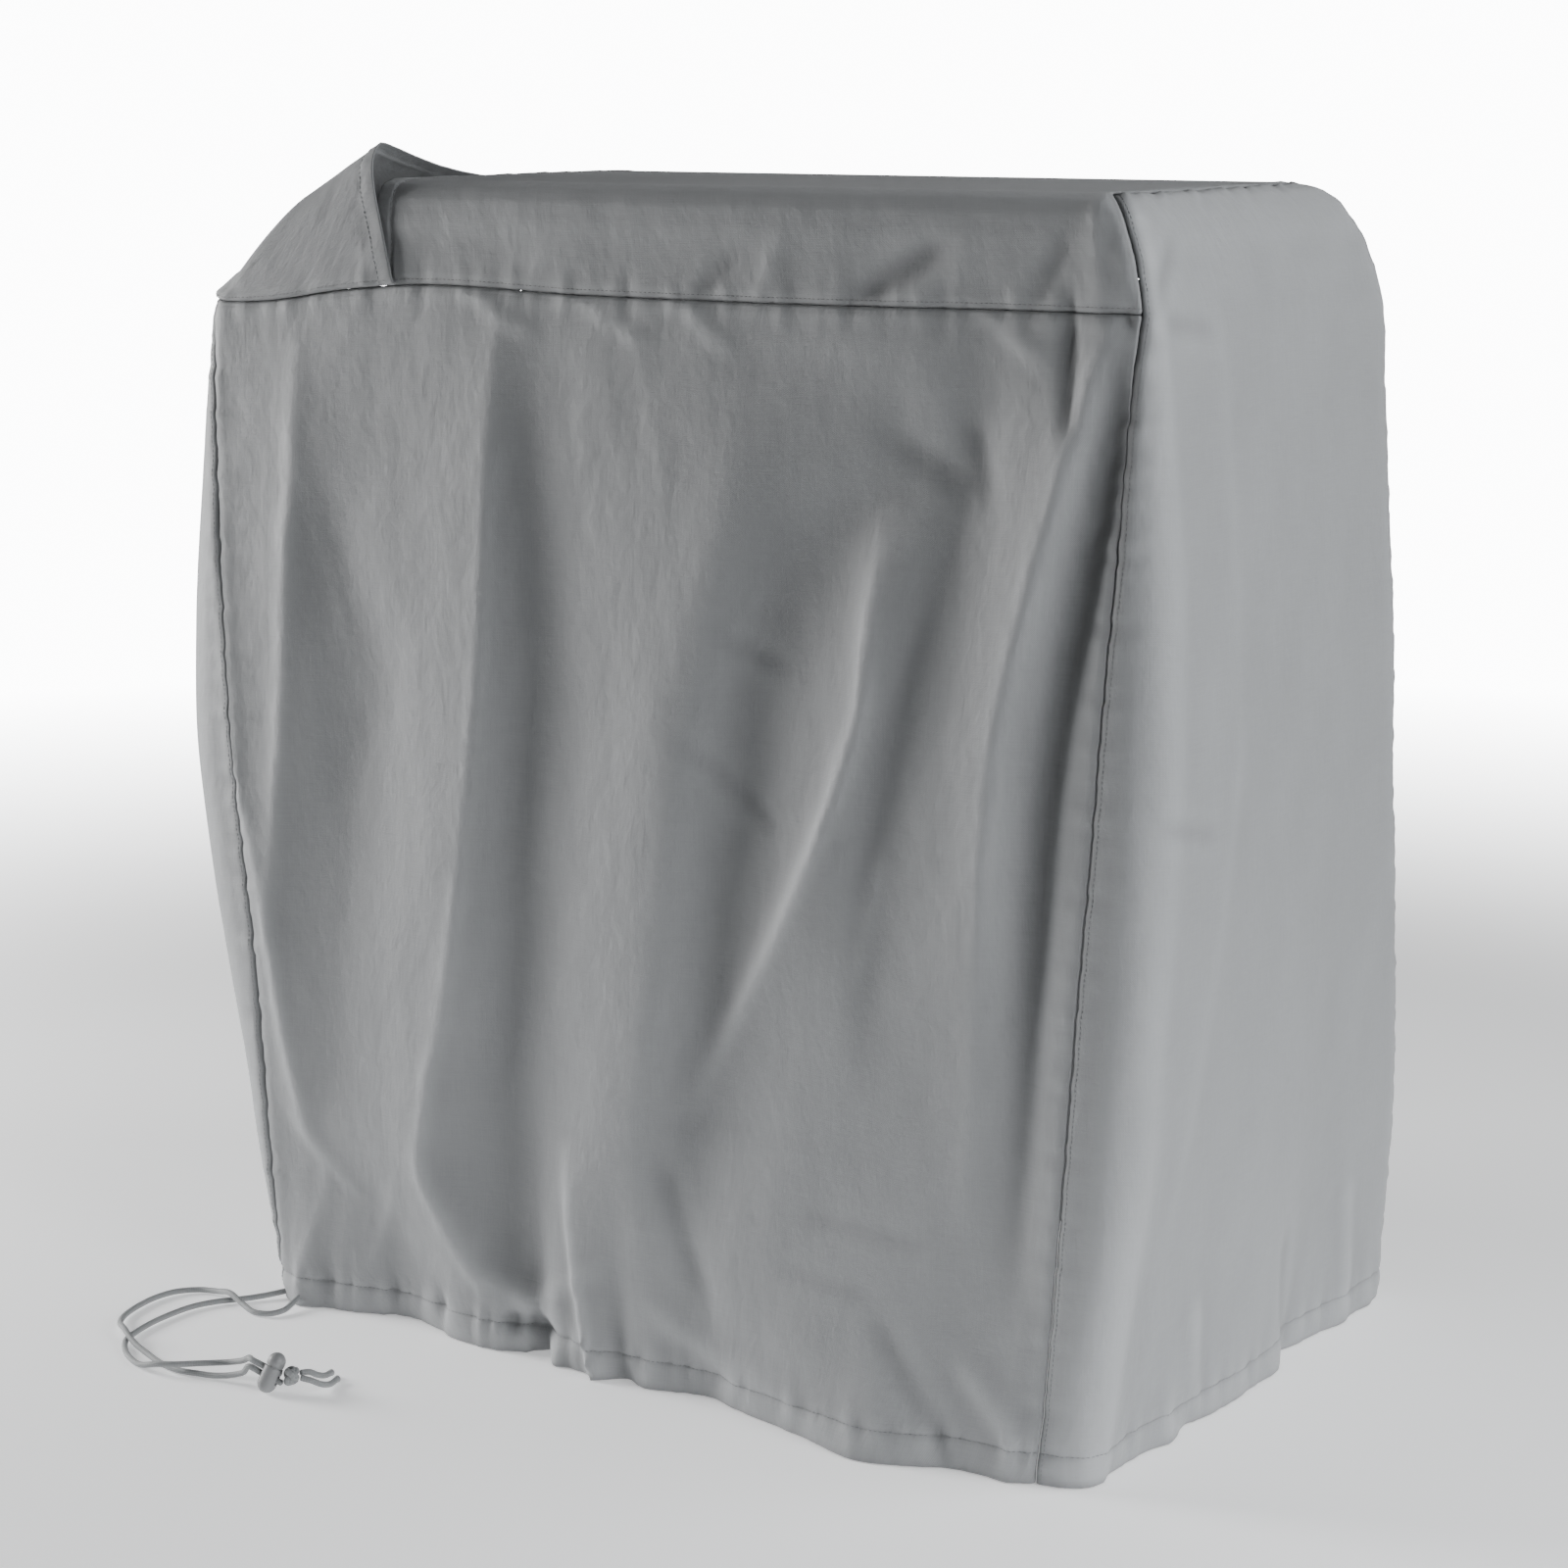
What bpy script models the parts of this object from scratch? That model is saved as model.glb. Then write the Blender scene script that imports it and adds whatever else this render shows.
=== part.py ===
"""Hose reel cover of grey woven cloth.

A fitted cover stands round a tall box: four skirt panels, a top panel with front and back drops,
and a slanted vent hood at the top left whose hemmed edge stands up over the top panel.
A drawstring leaves the hem at the front left corner and runs through a cord lock to a knot.
Shapes are worked out above the floor, x to the right along the front, y to the back, z up;
the finished parts are then moved so that the origin is the middle of the top panel's underside.
Metres throughout.
"""
import math

import bpy
import numpy as np
from mathutils import Vector

# Main sizes
HEIGHT = 1.000
CLOTH = 0.0020
SEAM_GAP = 0.0006
SEAM_DIP = 0.0035
EDGE_CELL = 0.006
RIM_INSET = 0.0011
HEM_LIFT = 0.0010
SKIRT_ROWS = 22
SIDE_COLUMNS = 16
DROP_ROWS = 6
TOP_CROWN = 0.003

# Drawstring and its fittings
CORD = 0.0054
LOCK_RADIUS = 0.0082
LOCK_LENGTH = 0.036
LOCK_SLOT = (0.0068, 0.0134)
KNOT_RADIUS = 0.0085

# Level cuts through the cover: walls left, right, front, back and the corner radii
SECTIONS = (
    # z, left, right, front, back, front left radius, front right radius, back radius
    (0.000, -0.404, 0.430, -0.228, 0.342, 0.022, 0.032, 0.035),
    (0.100, -0.428, 0.441, -0.230, 0.334, 0.030, 0.034, 0.035),
    (0.200, -0.449, 0.455, -0.231, 0.312, 0.040, 0.035, 0.038),
    (0.390, -0.488, 0.470, -0.232, 0.271, 0.050, 0.036, 0.045),
    (0.510, -0.502, 0.476, -0.232, 0.248, 0.050, 0.036, 0.050),
    (0.600, -0.498, 0.478, -0.232, 0.236, 0.048, 0.036, 0.050),
    (0.740, -0.481, 0.474, -0.231, 0.222, 0.040, 0.034, 0.050),
    (0.830, -0.466, 0.468, -0.230, 0.219, 0.032, 0.028, 0.050),
    (0.910, -0.448, 0.462, -0.230, 0.216, 0.026, 0.022, 0.048),
    (0.945, -0.440, 0.456, -0.230, 0.200, 0.026, 0.022, 0.046),
    (0.975, -0.434, 0.447, -0.229, 0.178, 0.026, 0.022, 0.044),
    (0.990, -0.430, 0.438, -0.224, 0.158, 0.026, 0.022, 0.042),
    (0.997, -0.428, 0.430, -0.216, 0.140, 0.026, 0.022, 0.042),
    (1.000, -0.425, 0.421, -0.205, 0.115, 0.026, 0.022, 0.042),
)
SHOULDER = 0.945

# Seams: level of the seam under the top along the front, and the two upright front seams
TOP_SEAM = (
    # x, z
    (-0.460, 0.896),
    (-0.410, 0.895),
    (-0.376, 0.897),
    (-0.293, 0.909),
    (-0.241, 0.914),
    (-0.040, 0.912),
    (0.180, 0.912),
    (0.370, 0.914),
    (0.460, 0.914),
)
LEFT_SEAM = (
    # z, x
    (0.000, -0.400),
    (0.200, -0.408),
    (0.345, -0.415),
    (0.450, -0.424),
    (0.610, -0.433),
    (0.790, -0.442),
    (0.900, -0.441),
)
RIGHT_SEAM = (
    # z, x
    (0.000, 0.383),
    (0.200, 0.398),
    (0.400, 0.412),
    (0.500, 0.420),
    (0.600, 0.427),
    (0.750, 0.439),
    (0.850, 0.446),
    (0.914, 0.453),
)
SEAM_RIGHT_END = 0.914
BACK_RIGHT = 3.5
BACK_LEFT = 5.5
VENT_EDGE = -0.258
HOOD_FOOT = -0.237

# Folds of the front: crest lines down the cloth, out is positive, keen 0 soft to 1 sharp
FRONT_FOLDS = (
    # name, keen, rows of (z, x, rise, width to the left, width to the right)
    ("left facet", 0.8, (
        (0.120, -0.335, 0.000, 0.025, 0.040),
        (0.170, -0.355, 0.006, 0.025, 0.045),
        (0.250, -0.378, 0.010, 0.028, 0.050),
        (0.330, -0.391, 0.012, 0.028, 0.050),
        (0.400, -0.402, 0.010, 0.025, 0.040),
        (0.500, -0.425, 0.008, 0.022, 0.035),
        (0.620, -0.434, 0.005, 0.022, 0.035),
        (0.720, -0.440, 0.000, 0.022, 0.035),
    )),
    ("left crease", 0.8, (
        (0.350, -0.390, 0.000, 0.040, 0.045),
        (0.450, -0.378, 0.008, 0.045, 0.050),
        (0.550, -0.367, 0.010, 0.050, 0.055),
        (0.650, -0.361, 0.010, 0.045, 0.050),
        (0.760, -0.352, 0.007, 0.040, 0.035),
        (0.870, -0.349, 0.000, 0.040, 0.030),
    )),
    ("left hollow", 0.2, (
        (0.180, -0.300, 0.000, 0.050, 0.050),
        (0.300, -0.320, -0.005, 0.050, 0.055),
        (0.450, -0.300, -0.007, 0.050, 0.055),
        (0.570, -0.283, -0.008, 0.050, 0.050),
        (0.670, -0.308, -0.006, 0.035, 0.040),
        (0.780, -0.338, 0.000, 0.030, 0.035),
    )),
    ("second crest", 0.5, (
        (0.045, -0.160, 0.005, 0.050, 0.030),
        (0.090, -0.190, 0.013, 0.070, 0.035),
        (0.150, -0.222, 0.017, 0.080, 0.035),
        (0.220, -0.213, 0.017, 0.085, 0.035),
        (0.300, -0.192, 0.016, 0.090, 0.035),
        (0.400, -0.177, 0.015, 0.090, 0.035),
        (0.500, -0.163, 0.014, 0.090, 0.035),
        (0.600, -0.152, 0.013, 0.085, 0.032),
        (0.750, -0.143, 0.010, 0.075, 0.028),
        (0.890, -0.136, 0.002, 0.060, 0.025),
    )),
    ("second hollow", 0.0, (
        (0.040, -0.125, -0.004, 0.030, 0.030),
        (0.080, -0.130, -0.012, 0.035, 0.035),
        (0.150, -0.132, -0.015, 0.040, 0.045),
        (0.250, -0.132, -0.013, 0.040, 0.060),
        (0.400, -0.118, -0.011, 0.038, 0.065),
        (0.600, -0.103, -0.009, 0.036, 0.060),
        (0.860, -0.095, -0.002, 0.035, 0.050),
    )),
    ("gather crest", 0.9, (
        (0.000, -0.042, 0.016, 0.012, 0.045),
        (0.050, -0.053, 0.014, 0.012, 0.050),
        (0.100, -0.062, 0.012, 0.012, 0.055),
        (0.150, -0.069, 0.009, 0.012, 0.055),
        (0.210, -0.073, 0.000, 0.014, 0.050),
    )),
    ("middle crest", 0.1, (
        (0.080, 0.000, 0.004, 0.080, 0.040),
        (0.200, -0.005, 0.009, 0.080, 0.036),
        (0.300, 0.008, 0.011, 0.080, 0.036),
        (0.400, 0.022, 0.012, 0.080, 0.036),
        (0.500, 0.038, 0.012, 0.080, 0.038),
        (0.620, 0.065, 0.010, 0.080, 0.040),
        (0.750, 0.085, 0.008, 0.080, 0.045),
        (0.860, 0.100, 0.000, 0.080, 0.045),
    )),
    ("middle hollow", 0.0, (
        (0.140, 0.045, 0.000, 0.040, 0.060),
        (0.200, 0.055, -0.006, 0.040, 0.060),
        (0.300, 0.080, -0.011, 0.045, 0.060),
        (0.400, 0.085, -0.013, 0.045, 0.060),
        (0.500, 0.102, -0.014, 0.048, 0.060),
        (0.620, 0.125, -0.013, 0.050, 0.060),
        (0.720, 0.180, -0.010, 0.060, 0.060),
        (0.800, 0.255, -0.008, 0.070, 0.050),
        (0.880, 0.200, 0.000, 0.080, 0.050),
    )),
    ("slanting crest", 0.5, (
        (0.230, 0.040, 0.000, 0.020, 0.040),
        (0.330, 0.095, 0.006, 0.020, 0.040),
        (0.400, 0.135, 0.009, 0.022, 0.040),
        (0.500, 0.184, 0.011, 0.022, 0.032),
        (0.600, 0.218, 0.010, 0.022, 0.028),
        (0.680, 0.225, 0.007, 0.022, 0.028),
        (0.770, 0.235, 0.000, 0.022, 0.028),
    )),
    ("upper right hollow", 0.1, (
        (0.280, 0.228, 0.000, 0.020, 0.040),
        (0.400, 0.225, -0.005, 0.020, 0.040),
        (0.500, 0.230, -0.006, 0.022, 0.042),
        (0.600, 0.250, -0.007, 0.025, 0.045),
        (0.700, 0.285, -0.010, 0.030, 0.042),
        (0.800, 0.312, -0.011, 0.035, 0.040),
        (0.890, 0.322, -0.004, 0.030, 0.030),
    )),
    ("corner crest", 0.4, (
        (0.180, 0.310, 0.000, 0.040, 0.025),
        (0.300, 0.320, 0.005, 0.040, 0.025),
        (0.400, 0.326, 0.008, 0.038, 0.024),
        (0.500, 0.331, 0.011, 0.035, 0.023),
        (0.600, 0.342, 0.013, 0.032, 0.022),
        (0.700, 0.366, 0.013, 0.030, 0.022),
        (0.780, 0.389, 0.011, 0.028, 0.020),
        (0.850, 0.410, 0.008, 0.025, 0.018),
        (0.905, 0.430, 0.002, 0.020, 0.015),
    )),
    ("corner hollow", 0.1, (
        (0.110, 0.352, 0.000, 0.025, 0.018),
        (0.200, 0.358, -0.005, 0.025, 0.018),
        (0.300, 0.363, -0.009, 0.024, 0.018),
        (0.400, 0.368, -0.011, 0.023, 0.018),
        (0.500, 0.373, -0.012, 0.022, 0.018),
        (0.600, 0.386, -0.012, 0.021, 0.017),
        (0.700, 0.406, -0.012, 0.020, 0.016),
        (0.800, 0.426, -0.009, 0.018, 0.014),
        (0.890, 0.440, -0.002, 0.016, 0.012),
    )),
    ("lower right swell", 0.0, (
        (0.000, 0.240, 0.034, 0.110, 0.110),
        (0.040, 0.220, 0.026, 0.120, 0.120),
        (0.090, 0.190, 0.015, 0.130, 0.130),
        (0.160, 0.160, 0.006, 0.130, 0.130),
        (0.240, 0.140, 0.000, 0.120, 0.120),
    )),
)
SIDE_FOLDS = (
    # name, keen, rows of (z, y, rise, width to the front, width to the back)
    ("front bend", 0.1, (
        (0.000, -0.150, -0.006, 0.040, 0.050),
        (0.150, -0.165, -0.004, 0.040, 0.050),
        (0.400, -0.150, 0.004, 0.045, 0.060),
        (0.700, -0.120, 0.004, 0.050, 0.080),
        (0.900, -0.100, 0.000, 0.050, 0.080),
    )),
    ("middle swell", 0.0, (
        (0.000, 0.020, 0.006, 0.070, 0.090),
        (0.300, 0.010, 0.005, 0.080, 0.090),
        (0.600, 0.030, -0.003, 0.090, 0.090),
        (0.900, 0.040, 0.000, 0.090, 0.090),
    )),
    ("back hollow", 0.0, (
        (0.000, 0.150, -0.007, 0.050, 0.060),
        (0.200, 0.140, -0.006, 0.055, 0.060),
        (0.450, 0.130, -0.004, 0.060, 0.060),
        (0.700, 0.120, 0.000, 0.060, 0.060),
    )),
)
LEFT_FOLDS = (
    # name, keen, rows of (z, y, rise, width to the front, width to the back)
    ("front swell", 0.0, (
        (0.000, -0.080, 0.006, 0.050, 0.060),
        (0.350, -0.070, 0.008, 0.060, 0.070),
        (0.850, -0.060, 0.000, 0.060, 0.070),
    )),
    ("back hollow", 0.0, (
        (0.000, 0.090, -0.008, 0.060, 0.070),
        (0.450, 0.070, -0.008, 0.070, 0.080),
        (0.850, 0.060, 0.000, 0.070, 0.080),
    )),
)
BACK_FOLDS = (
    # name, keen, rows of (z, x, rise, width to the left, width to the right)
    ("left swell", 0.0, (
        (0.000, -0.250, 0.012, 0.070, 0.070),
        (0.450, -0.240, 0.008, 0.080, 0.080),
        (0.850, -0.230, 0.000, 0.080, 0.080),
    )),
    ("middle hollow", 0.0, (
        (0.000, -0.050, -0.014, 0.080, 0.080),
        (0.450, -0.040, -0.009, 0.090, 0.090),
        (0.850, -0.040, 0.000, 0.090, 0.090),
    )),
    ("right swell", 0.0, (
        (0.000, 0.170, 0.010, 0.080, 0.080),
        (0.450, 0.190, 0.007, 0.090, 0.090),
        (0.850, 0.200, 0.000, 0.090, 0.090),
    )),
)

# Gathers that the drawstring pulls into the foot of the front, dying out over their height
HEM_GATHERS = (
    # x, rise, width, height
    (-0.369, 0.010, 0.018, 0.050),
    (-0.262, -0.022, 0.045, 0.080),
    (-0.112, -0.022, 0.013, 0.040),
    (-0.087, 0.007, 0.010, 0.035),
    (-0.018, -0.016, 0.014, 0.040),
    (0.060, -0.010, 0.030, 0.060),
    (0.240, 0.010, 0.035, 0.050),
    (0.310, -0.006, 0.022, 0.040),
    (0.362, 0.008, 0.016, 0.040),
)
SIDE_GATHERS = (
    # y, rise, width, height
    (-0.185, -0.006, 0.020, 0.040),
    (-0.100, 0.006, 0.018, 0.035),
    (-0.060, -0.006, 0.016, 0.035),
    (0.090, 0.006, 0.022, 0.035),
    (0.135, -0.006, 0.016, 0.040),
    (0.230, 0.007, 0.024, 0.040),
    (0.285, 0.006, 0.020, 0.040),
)

# Vent hood: height of its slanted ridge over the front, and how much lower it lies at the back
HOOD_RIDGE = (
    # share of the way to the free edge, ridge x, ridge z, drop towards the back
    (0.00, -0.438, 0.8965, 0.000),
    (0.15, -0.409, 0.920, 0.008),
    (0.30, -0.388, 0.942, 0.014),
    (0.50, -0.357, 0.974, 0.022),
    (0.65, -0.333, 0.995, 0.030),
    (0.85, -0.295, 1.023, 0.040),
    (1.00, -0.268, 1.042, 0.052),
)
HOOD_PEAK = 0.020
HOOD_REACH = 0.085
HOOD_CLEARANCE = 0.0048
HOOD_BULGE = 0.0120

# Corners of the box inside the cover that sewn edges turn in towards
CORE = ((-0.360, -0.150, 0.000), (0.360, 0.100, 0.900))

# Drawstring, seen from above; the height is that of the cord's centre
OUTER_ROUTE = (
    # x, y, z
    (-0.3700, -0.2368, 0.0090),
    (-0.3685, -0.2480, 0.0064),
    (-0.3675, -0.2600, 0.0042),
    (-0.3720, -0.2710, 0.0034),
    (-0.3850, -0.2770, 0.0033),
    (-0.4060, -0.2715, 0.0055),
    (-0.4260, -0.2650, 0.0098),
    (-0.4490, -0.2570, 0.0050),
    (-0.4700, -0.2600, 0.0033),
    (-0.4830, -0.2740, 0.0033),
    (-0.4880, -0.2960, 0.0033),
    (-0.4860, -0.3200, 0.0033),
    (-0.4790, -0.3450, 0.0036),
    (-0.4660, -0.3650, 0.0058),
    (-0.4400, -0.3865, 0.0104),
    (-0.4180, -0.3980, 0.0060),
    (-0.3940, -0.4070, 0.0036),
    (-0.3660, -0.4180, 0.0034),
    (-0.3460, -0.4210, 0.0034),
    (-0.3270, -0.4185, 0.0036),
    (-0.3095, -0.4150, 0.0042),
    (-0.2950, -0.4125, 0.0068),
    (-0.2810, -0.4120, 0.0120),
    (-0.2701, -0.4160, 0.0208),
    (-0.2585, -0.4129, 0.0161),
    (-0.2409, -0.4080, 0.0092),
)
INNER_ROUTE = (
    # x, y, z
    (-0.3960, -0.2247, 0.0060),
    (-0.4035, -0.2347, 0.0046),
    (-0.4120, -0.2460, 0.0036),
    (-0.4220, -0.2590, 0.0033),
    (-0.4340, -0.2740, 0.0033),
    (-0.4435, -0.2950, 0.0033),
    (-0.4465, -0.3200, 0.0033),
    (-0.4455, -0.3480, 0.0033),
    (-0.4410, -0.3720, 0.0033),
    (-0.4350, -0.3900, 0.0034),
    (-0.4220, -0.4060, 0.0033),
    (-0.4020, -0.4210, 0.0033),
    (-0.3800, -0.4310, 0.0046),
    (-0.3600, -0.4320, 0.0094),
    (-0.3440, -0.4250, 0.0104),
    (-0.3320, -0.4130, 0.0098),
    (-0.3220, -0.4030, 0.0092),
    (-0.3090, -0.3975, 0.0108),
    (-0.2920, -0.4000, 0.0165),
    (-0.2770, -0.4075, 0.0245),
    (-0.2685, -0.4139, 0.0264),
    (-0.2568, -0.4108, 0.0217),
    (-0.2428, -0.4068, 0.0162),
)
UPPER_TAIL_ROUTE = (
    # x, y, z
    (-0.2312, -0.3965, 0.0170),
    (-0.2285, -0.3890, 0.0160),
    (-0.2275, -0.3800, 0.0110),
    (-0.2290, -0.3690, 0.0062),
    (-0.2330, -0.3540, 0.0034),
)
LOWER_TAIL_ROUTE = (
    # x, y, z
    (-0.2273, -0.4010, 0.0149),
    (-0.2210, -0.3960, 0.0125),
    (-0.2165, -0.3880, 0.0075),
    (-0.2160, -0.3780, 0.0040),
    (-0.2195, -0.3620, 0.0034),
)
LOCK_CENTRE = (-0.2510, -0.4097, 0.0174)
LOCK_AXIS = (0.267, 0.349, 0.898)
THREADING = (0.93, 0.36, 0.0)
KNOT_CENTRE = (-0.2348, -0.4036, 0.0162)
KNOT_PULL = (0.72, 0.69, -0.10)


def read(rows, key):
    """Columns of a table at the wanted first-column values, on a smooth curve through its rows."""
    table = np.array(rows, dtype=float)
    keys, values = table[:, 0], table[:, 1:]
    slopes = np.gradient(values, keys, axis=0)
    key = np.clip(np.asarray(key, dtype=float), keys[0], keys[-1])
    low = np.clip(np.searchsorted(keys, key, side="right") - 1, 0, len(keys) - 2)
    step = (keys[low + 1] - keys[low])[..., None]
    s = (key - keys[low])[..., None] / step
    start = values[low] * (2 * s**3 - 3 * s**2 + 1) + slopes[low] * step * (s**3 - 2 * s**2 + s)
    end = values[low + 1] * (3 * s**2 - 2 * s**3) + slopes[low + 1] * step * (s**3 - s**2)
    return np.moveaxis(start + end, -1, 0)


def corners(z):
    """Centre, radius and first angle of the four rounded corners, from the front right round."""
    left, right, front, back, left_radius, right_radius, back_radius = read(SECTIONS, z)
    return (
        (right - right_radius, front + right_radius, right_radius, -90.0),
        (right - back_radius, back - back_radius, back_radius, 0.0),
        (left + back_radius, back - back_radius, back_radius, 90.0),
        (left + left_radius, front + left_radius, left_radius, 180.0),
    )


def ring(z, turn):
    """Point and outward direction on the level outline; even turns start walls, odd ones corners."""
    z, turn = np.broadcast_arrays(np.asarray(z, dtype=float), np.asarray(turn, dtype=float))
    turn = np.mod(turn, 8.0)
    part = np.floor(turn).astype(int)
    share = turn - part
    arcs = corners(z)
    x, y, angle = np.zeros(z.shape), np.zeros(z.shape), np.zeros(z.shape)
    for index, (cx, cy, radius, first) in enumerate(arcs):
        px, py, before, last = arcs[index - 1]
        turned = math.radians(first)
        wall = part == 2 * index
        ax, ay = px + before * math.cos(turned), py + before * math.sin(turned)
        bx, by = cx + radius * math.cos(turned), cy + radius * math.sin(turned)
        x = np.where(wall, ax + (bx - ax) * share, x)
        y = np.where(wall, ay + (by - ay) * share, y)
        angle = np.where(wall, turned, angle)
        round_corner = part == 2 * index + 1
        bend = turned + share * math.pi / 2
        x = np.where(round_corner, cx + radius * np.cos(bend), x)
        y = np.where(round_corner, cy + radius * np.sin(bend), y)
        angle = np.where(round_corner, bend, angle)
    return x, y, np.cos(angle), np.sin(angle)


def front_turn(z, x):
    """Turn at which the outline passes a given x on the front wall or its two corners."""
    right, _, _, left = corners(z)
    start, end = left[0], right[0]
    wall = (x - start) / (end - start)
    past = 1 + np.arcsin(np.clip((x - end) / right[2], 0, 1)) / (math.pi / 2)
    short = -np.arcsin(np.clip((start - x) / left[2], 0, 1)) / (math.pi / 2)
    return np.where(x > end, past, np.where(x < start, short, wall))


def back_turn(z, x):
    """Turn at which the outline passes a given x on the back wall."""
    _, right, left, _ = corners(z)
    return 4 + (right[0] - x) / (right[0] - left[0])


def left_seam(z):
    low = np.minimum(z, LEFT_SEAM[-1][0])
    return front_turn(low, read(LEFT_SEAM, low)[0])


def right_seam(z):
    low = np.minimum(z, RIGHT_SEAM[-1][0])
    return front_turn(low, read(RIGHT_SEAM, low)[0])


def seam_level(x):
    return read(TOP_SEAM, x)[0]


def crease(offset, keen):
    """Height of a fold across its crest, one at the crest itself."""
    return (1 - keen) * np.exp(-offset**2) + keen * np.exp(-1.5 * np.abs(offset))


def fold_height(folds, along, z):
    total = np.zeros(np.shape(along))
    for _, keen, rows in folds:
        middle, rise, before, after = read(rows, z)
        width = np.where(along < middle, before, after)
        total = total + rise * crease((along - middle) / width, keen)
    return total


def gather_height(gathers, along, z):
    total = np.zeros(np.shape(along))
    for middle, rise, width, height in gathers:
        total = total + rise * np.exp(-((along - middle) / width)**2 - np.maximum(z, 0) / height)
    return total


def skin(z, turn):
    """Points of the cloth's outer face on the skirt, folds included."""
    x, y, nx, ny = ring(z, turn)
    upper = np.clip((SHOULDER - z) / 0.03, 0, 1)
    front = fold_height(FRONT_FOLDS, x, z) + gather_height(HEM_GATHERS, x, z)
    side = fold_height(SIDE_FOLDS, y, z) + gather_height(SIDE_GATHERS, y, z)
    left = fold_height(LEFT_FOLDS, y, z)
    back = fold_height(BACK_FOLDS, x, z)
    out = front * np.maximum(-ny, 0)**2 + back * np.maximum(ny, 0)**2
    out = upper * (out + side * np.maximum(nx, 0)**2 + left * np.maximum(-nx, 0)**2)
    return np.stack([x + nx * out, y + ny * out, z + np.zeros(np.shape(x))], axis=-1)


def shares(cells, length, narrow_start=True, narrow_end=True):
    """Even shares from 0 to 1 with a narrow cell where a sewn edge turns in."""
    edge = EDGE_CELL / length
    inner = np.linspace(edge if narrow_start else 0, 1 - edge if narrow_end else 1,
                        cells + 1 - narrow_start - narrow_end)
    ends = [[0.0]] * narrow_start + [inner] + [[1.0]] * narrow_end
    return np.concatenate(ends)


def even_turns(z, first, last, fractions):
    """Turns at even distances along the outline at one level."""
    fine = np.linspace(first, last, 121)
    x, y, _, _ = ring(np.full(fine.shape, z), fine)
    run = np.concatenate([[0], np.cumsum(np.hypot(np.diff(x), np.diff(y)))])
    return np.interp(np.asarray(fractions) * run[-1], run, fine)


def gap_turns(z, first, last):
    """The same span of turns shortened by half a seam gap at both ends."""
    fine = np.linspace(first, last, 121)
    x, y, _, _ = ring(np.full(fine.shape, z), fine)
    length = np.hypot(np.diff(x), np.diff(y)).sum()
    trim = 0.5 * SEAM_GAP / length
    return even_turns(z, first, last, [trim, 1 - trim])


def skirt_shares():
    """Shares of the height at which every skirt panel has a row, so that the seams match."""
    return shares(SKIRT_ROWS, SEAM_RIGHT_END, narrow_start=False)


def wall_row(level, columns, first, last):
    """One row of a skirt panel, at a share of the height from the hem to the seam."""
    guess = HEM_LIFT + (SEAM_RIGHT_END - HEM_LIFT) * level
    start, end = gap_turns(guess, first(guess), last(guess))
    turns = even_turns(guess, start, end, columns)
    x, _, _, _ = ring(np.full(turns.shape, guess), turns)
    z = HEM_LIFT + (seam_level(x) - 0.5 * SEAM_GAP - HEM_LIFT) * level
    return skin(z, turns)


def drop_row(level, columns, first, last):
    """One row of the front or back drop, at a share of the way from the seam to the flat top."""
    rise = 0.25 * level + 0.75 * math.sin(level * math.pi / 2)
    guess = SEAM_RIGHT_END + (HEIGHT - SEAM_RIGHT_END) * rise
    start, end = gap_turns(guess, first(guess), last(guess))
    turns = even_turns(guess, start, end, columns)
    x, _, _, _ = ring(np.full(turns.shape, guess), turns)
    low = seam_level(x) + 0.5 * SEAM_GAP
    return skin(low + (HEIGHT - low) * rise, turns)


def skirt(columns, first, last):
    """Outer points of a skirt panel between two upright seams."""
    rows = [wall_row(level, columns, first, last) for level in skirt_shares()]
    return turn_in(np.array(rows), ("left", "right", "top"))


def turn_in(points, edges):
    """Dip the sewn edges of a grid towards the cover's middle, so that a seam shows as a groove."""
    lines = {"left": (slice(None), 0), "right": (slice(None), -1),
             "bottom": (0, slice(None)), "top": (-1, slice(None))}
    sewn = np.zeros(points.shape[:2], dtype=bool)
    for edge in edges:
        sewn[lines[edge]] = True
    inward = np.clip(points, CORE[0], CORE[1]) - points
    inward /= np.linalg.norm(inward, axis=-1, keepdims=True)
    return points + inward * SEAM_DIP * sewn[..., None]


def collection():
    found = bpy.data.collections.new("Hose reel cover")
    bpy.context.scene.collection.children.link(found)
    return found


def material(name, colour, roughness):
    made = bpy.data.materials.new(name)
    made.use_nodes = True
    surface = made.node_tree.nodes["Principled BSDF"]
    surface.inputs["Base Color"].default_value = (*colour, 1.0)
    surface.inputs["Roughness"].default_value = roughness
    return made


def keep(obj, group, surface):
    """Put an object into the cover's collection, with its material."""
    for other in list(obj.users_collection):
        other.objects.unlink(obj)
    group.objects.link(obj)
    obj.data.materials.clear()
    obj.data.materials.append(surface)
    return obj


def sheet(name, points, group, surface):
    """A cloth sheet of even thickness, its outer face on a grid of points."""
    rows, columns = points.shape[:2]
    bpy.ops.mesh.primitive_grid_add(x_subdivisions=columns - 1, y_subdivisions=rows - 1, size=1)
    obj = bpy.context.object
    obj.name = name
    for vertex in obj.data.vertices:
        column = round((vertex.co.x + 0.5) * (columns - 1))
        row = round((vertex.co.y + 0.5) * (rows - 1))
        vertex.co = points[row, column]
    shell = obj.modifiers.new("Cloth thickness", "SOLIDIFY")
    shell.thickness = CLOTH
    shell.offset = -1.0
    shell.use_even_offset = True
    shell.use_rim = True
    return keep(obj, group, surface)


def front_panel():
    return skirt(shares(36, 0.85), left_seam, right_seam)


def left_panel():
    return skirt(shares(12, 0.55), lambda z: BACK_LEFT, lambda z: 8 + left_seam(z))


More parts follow.
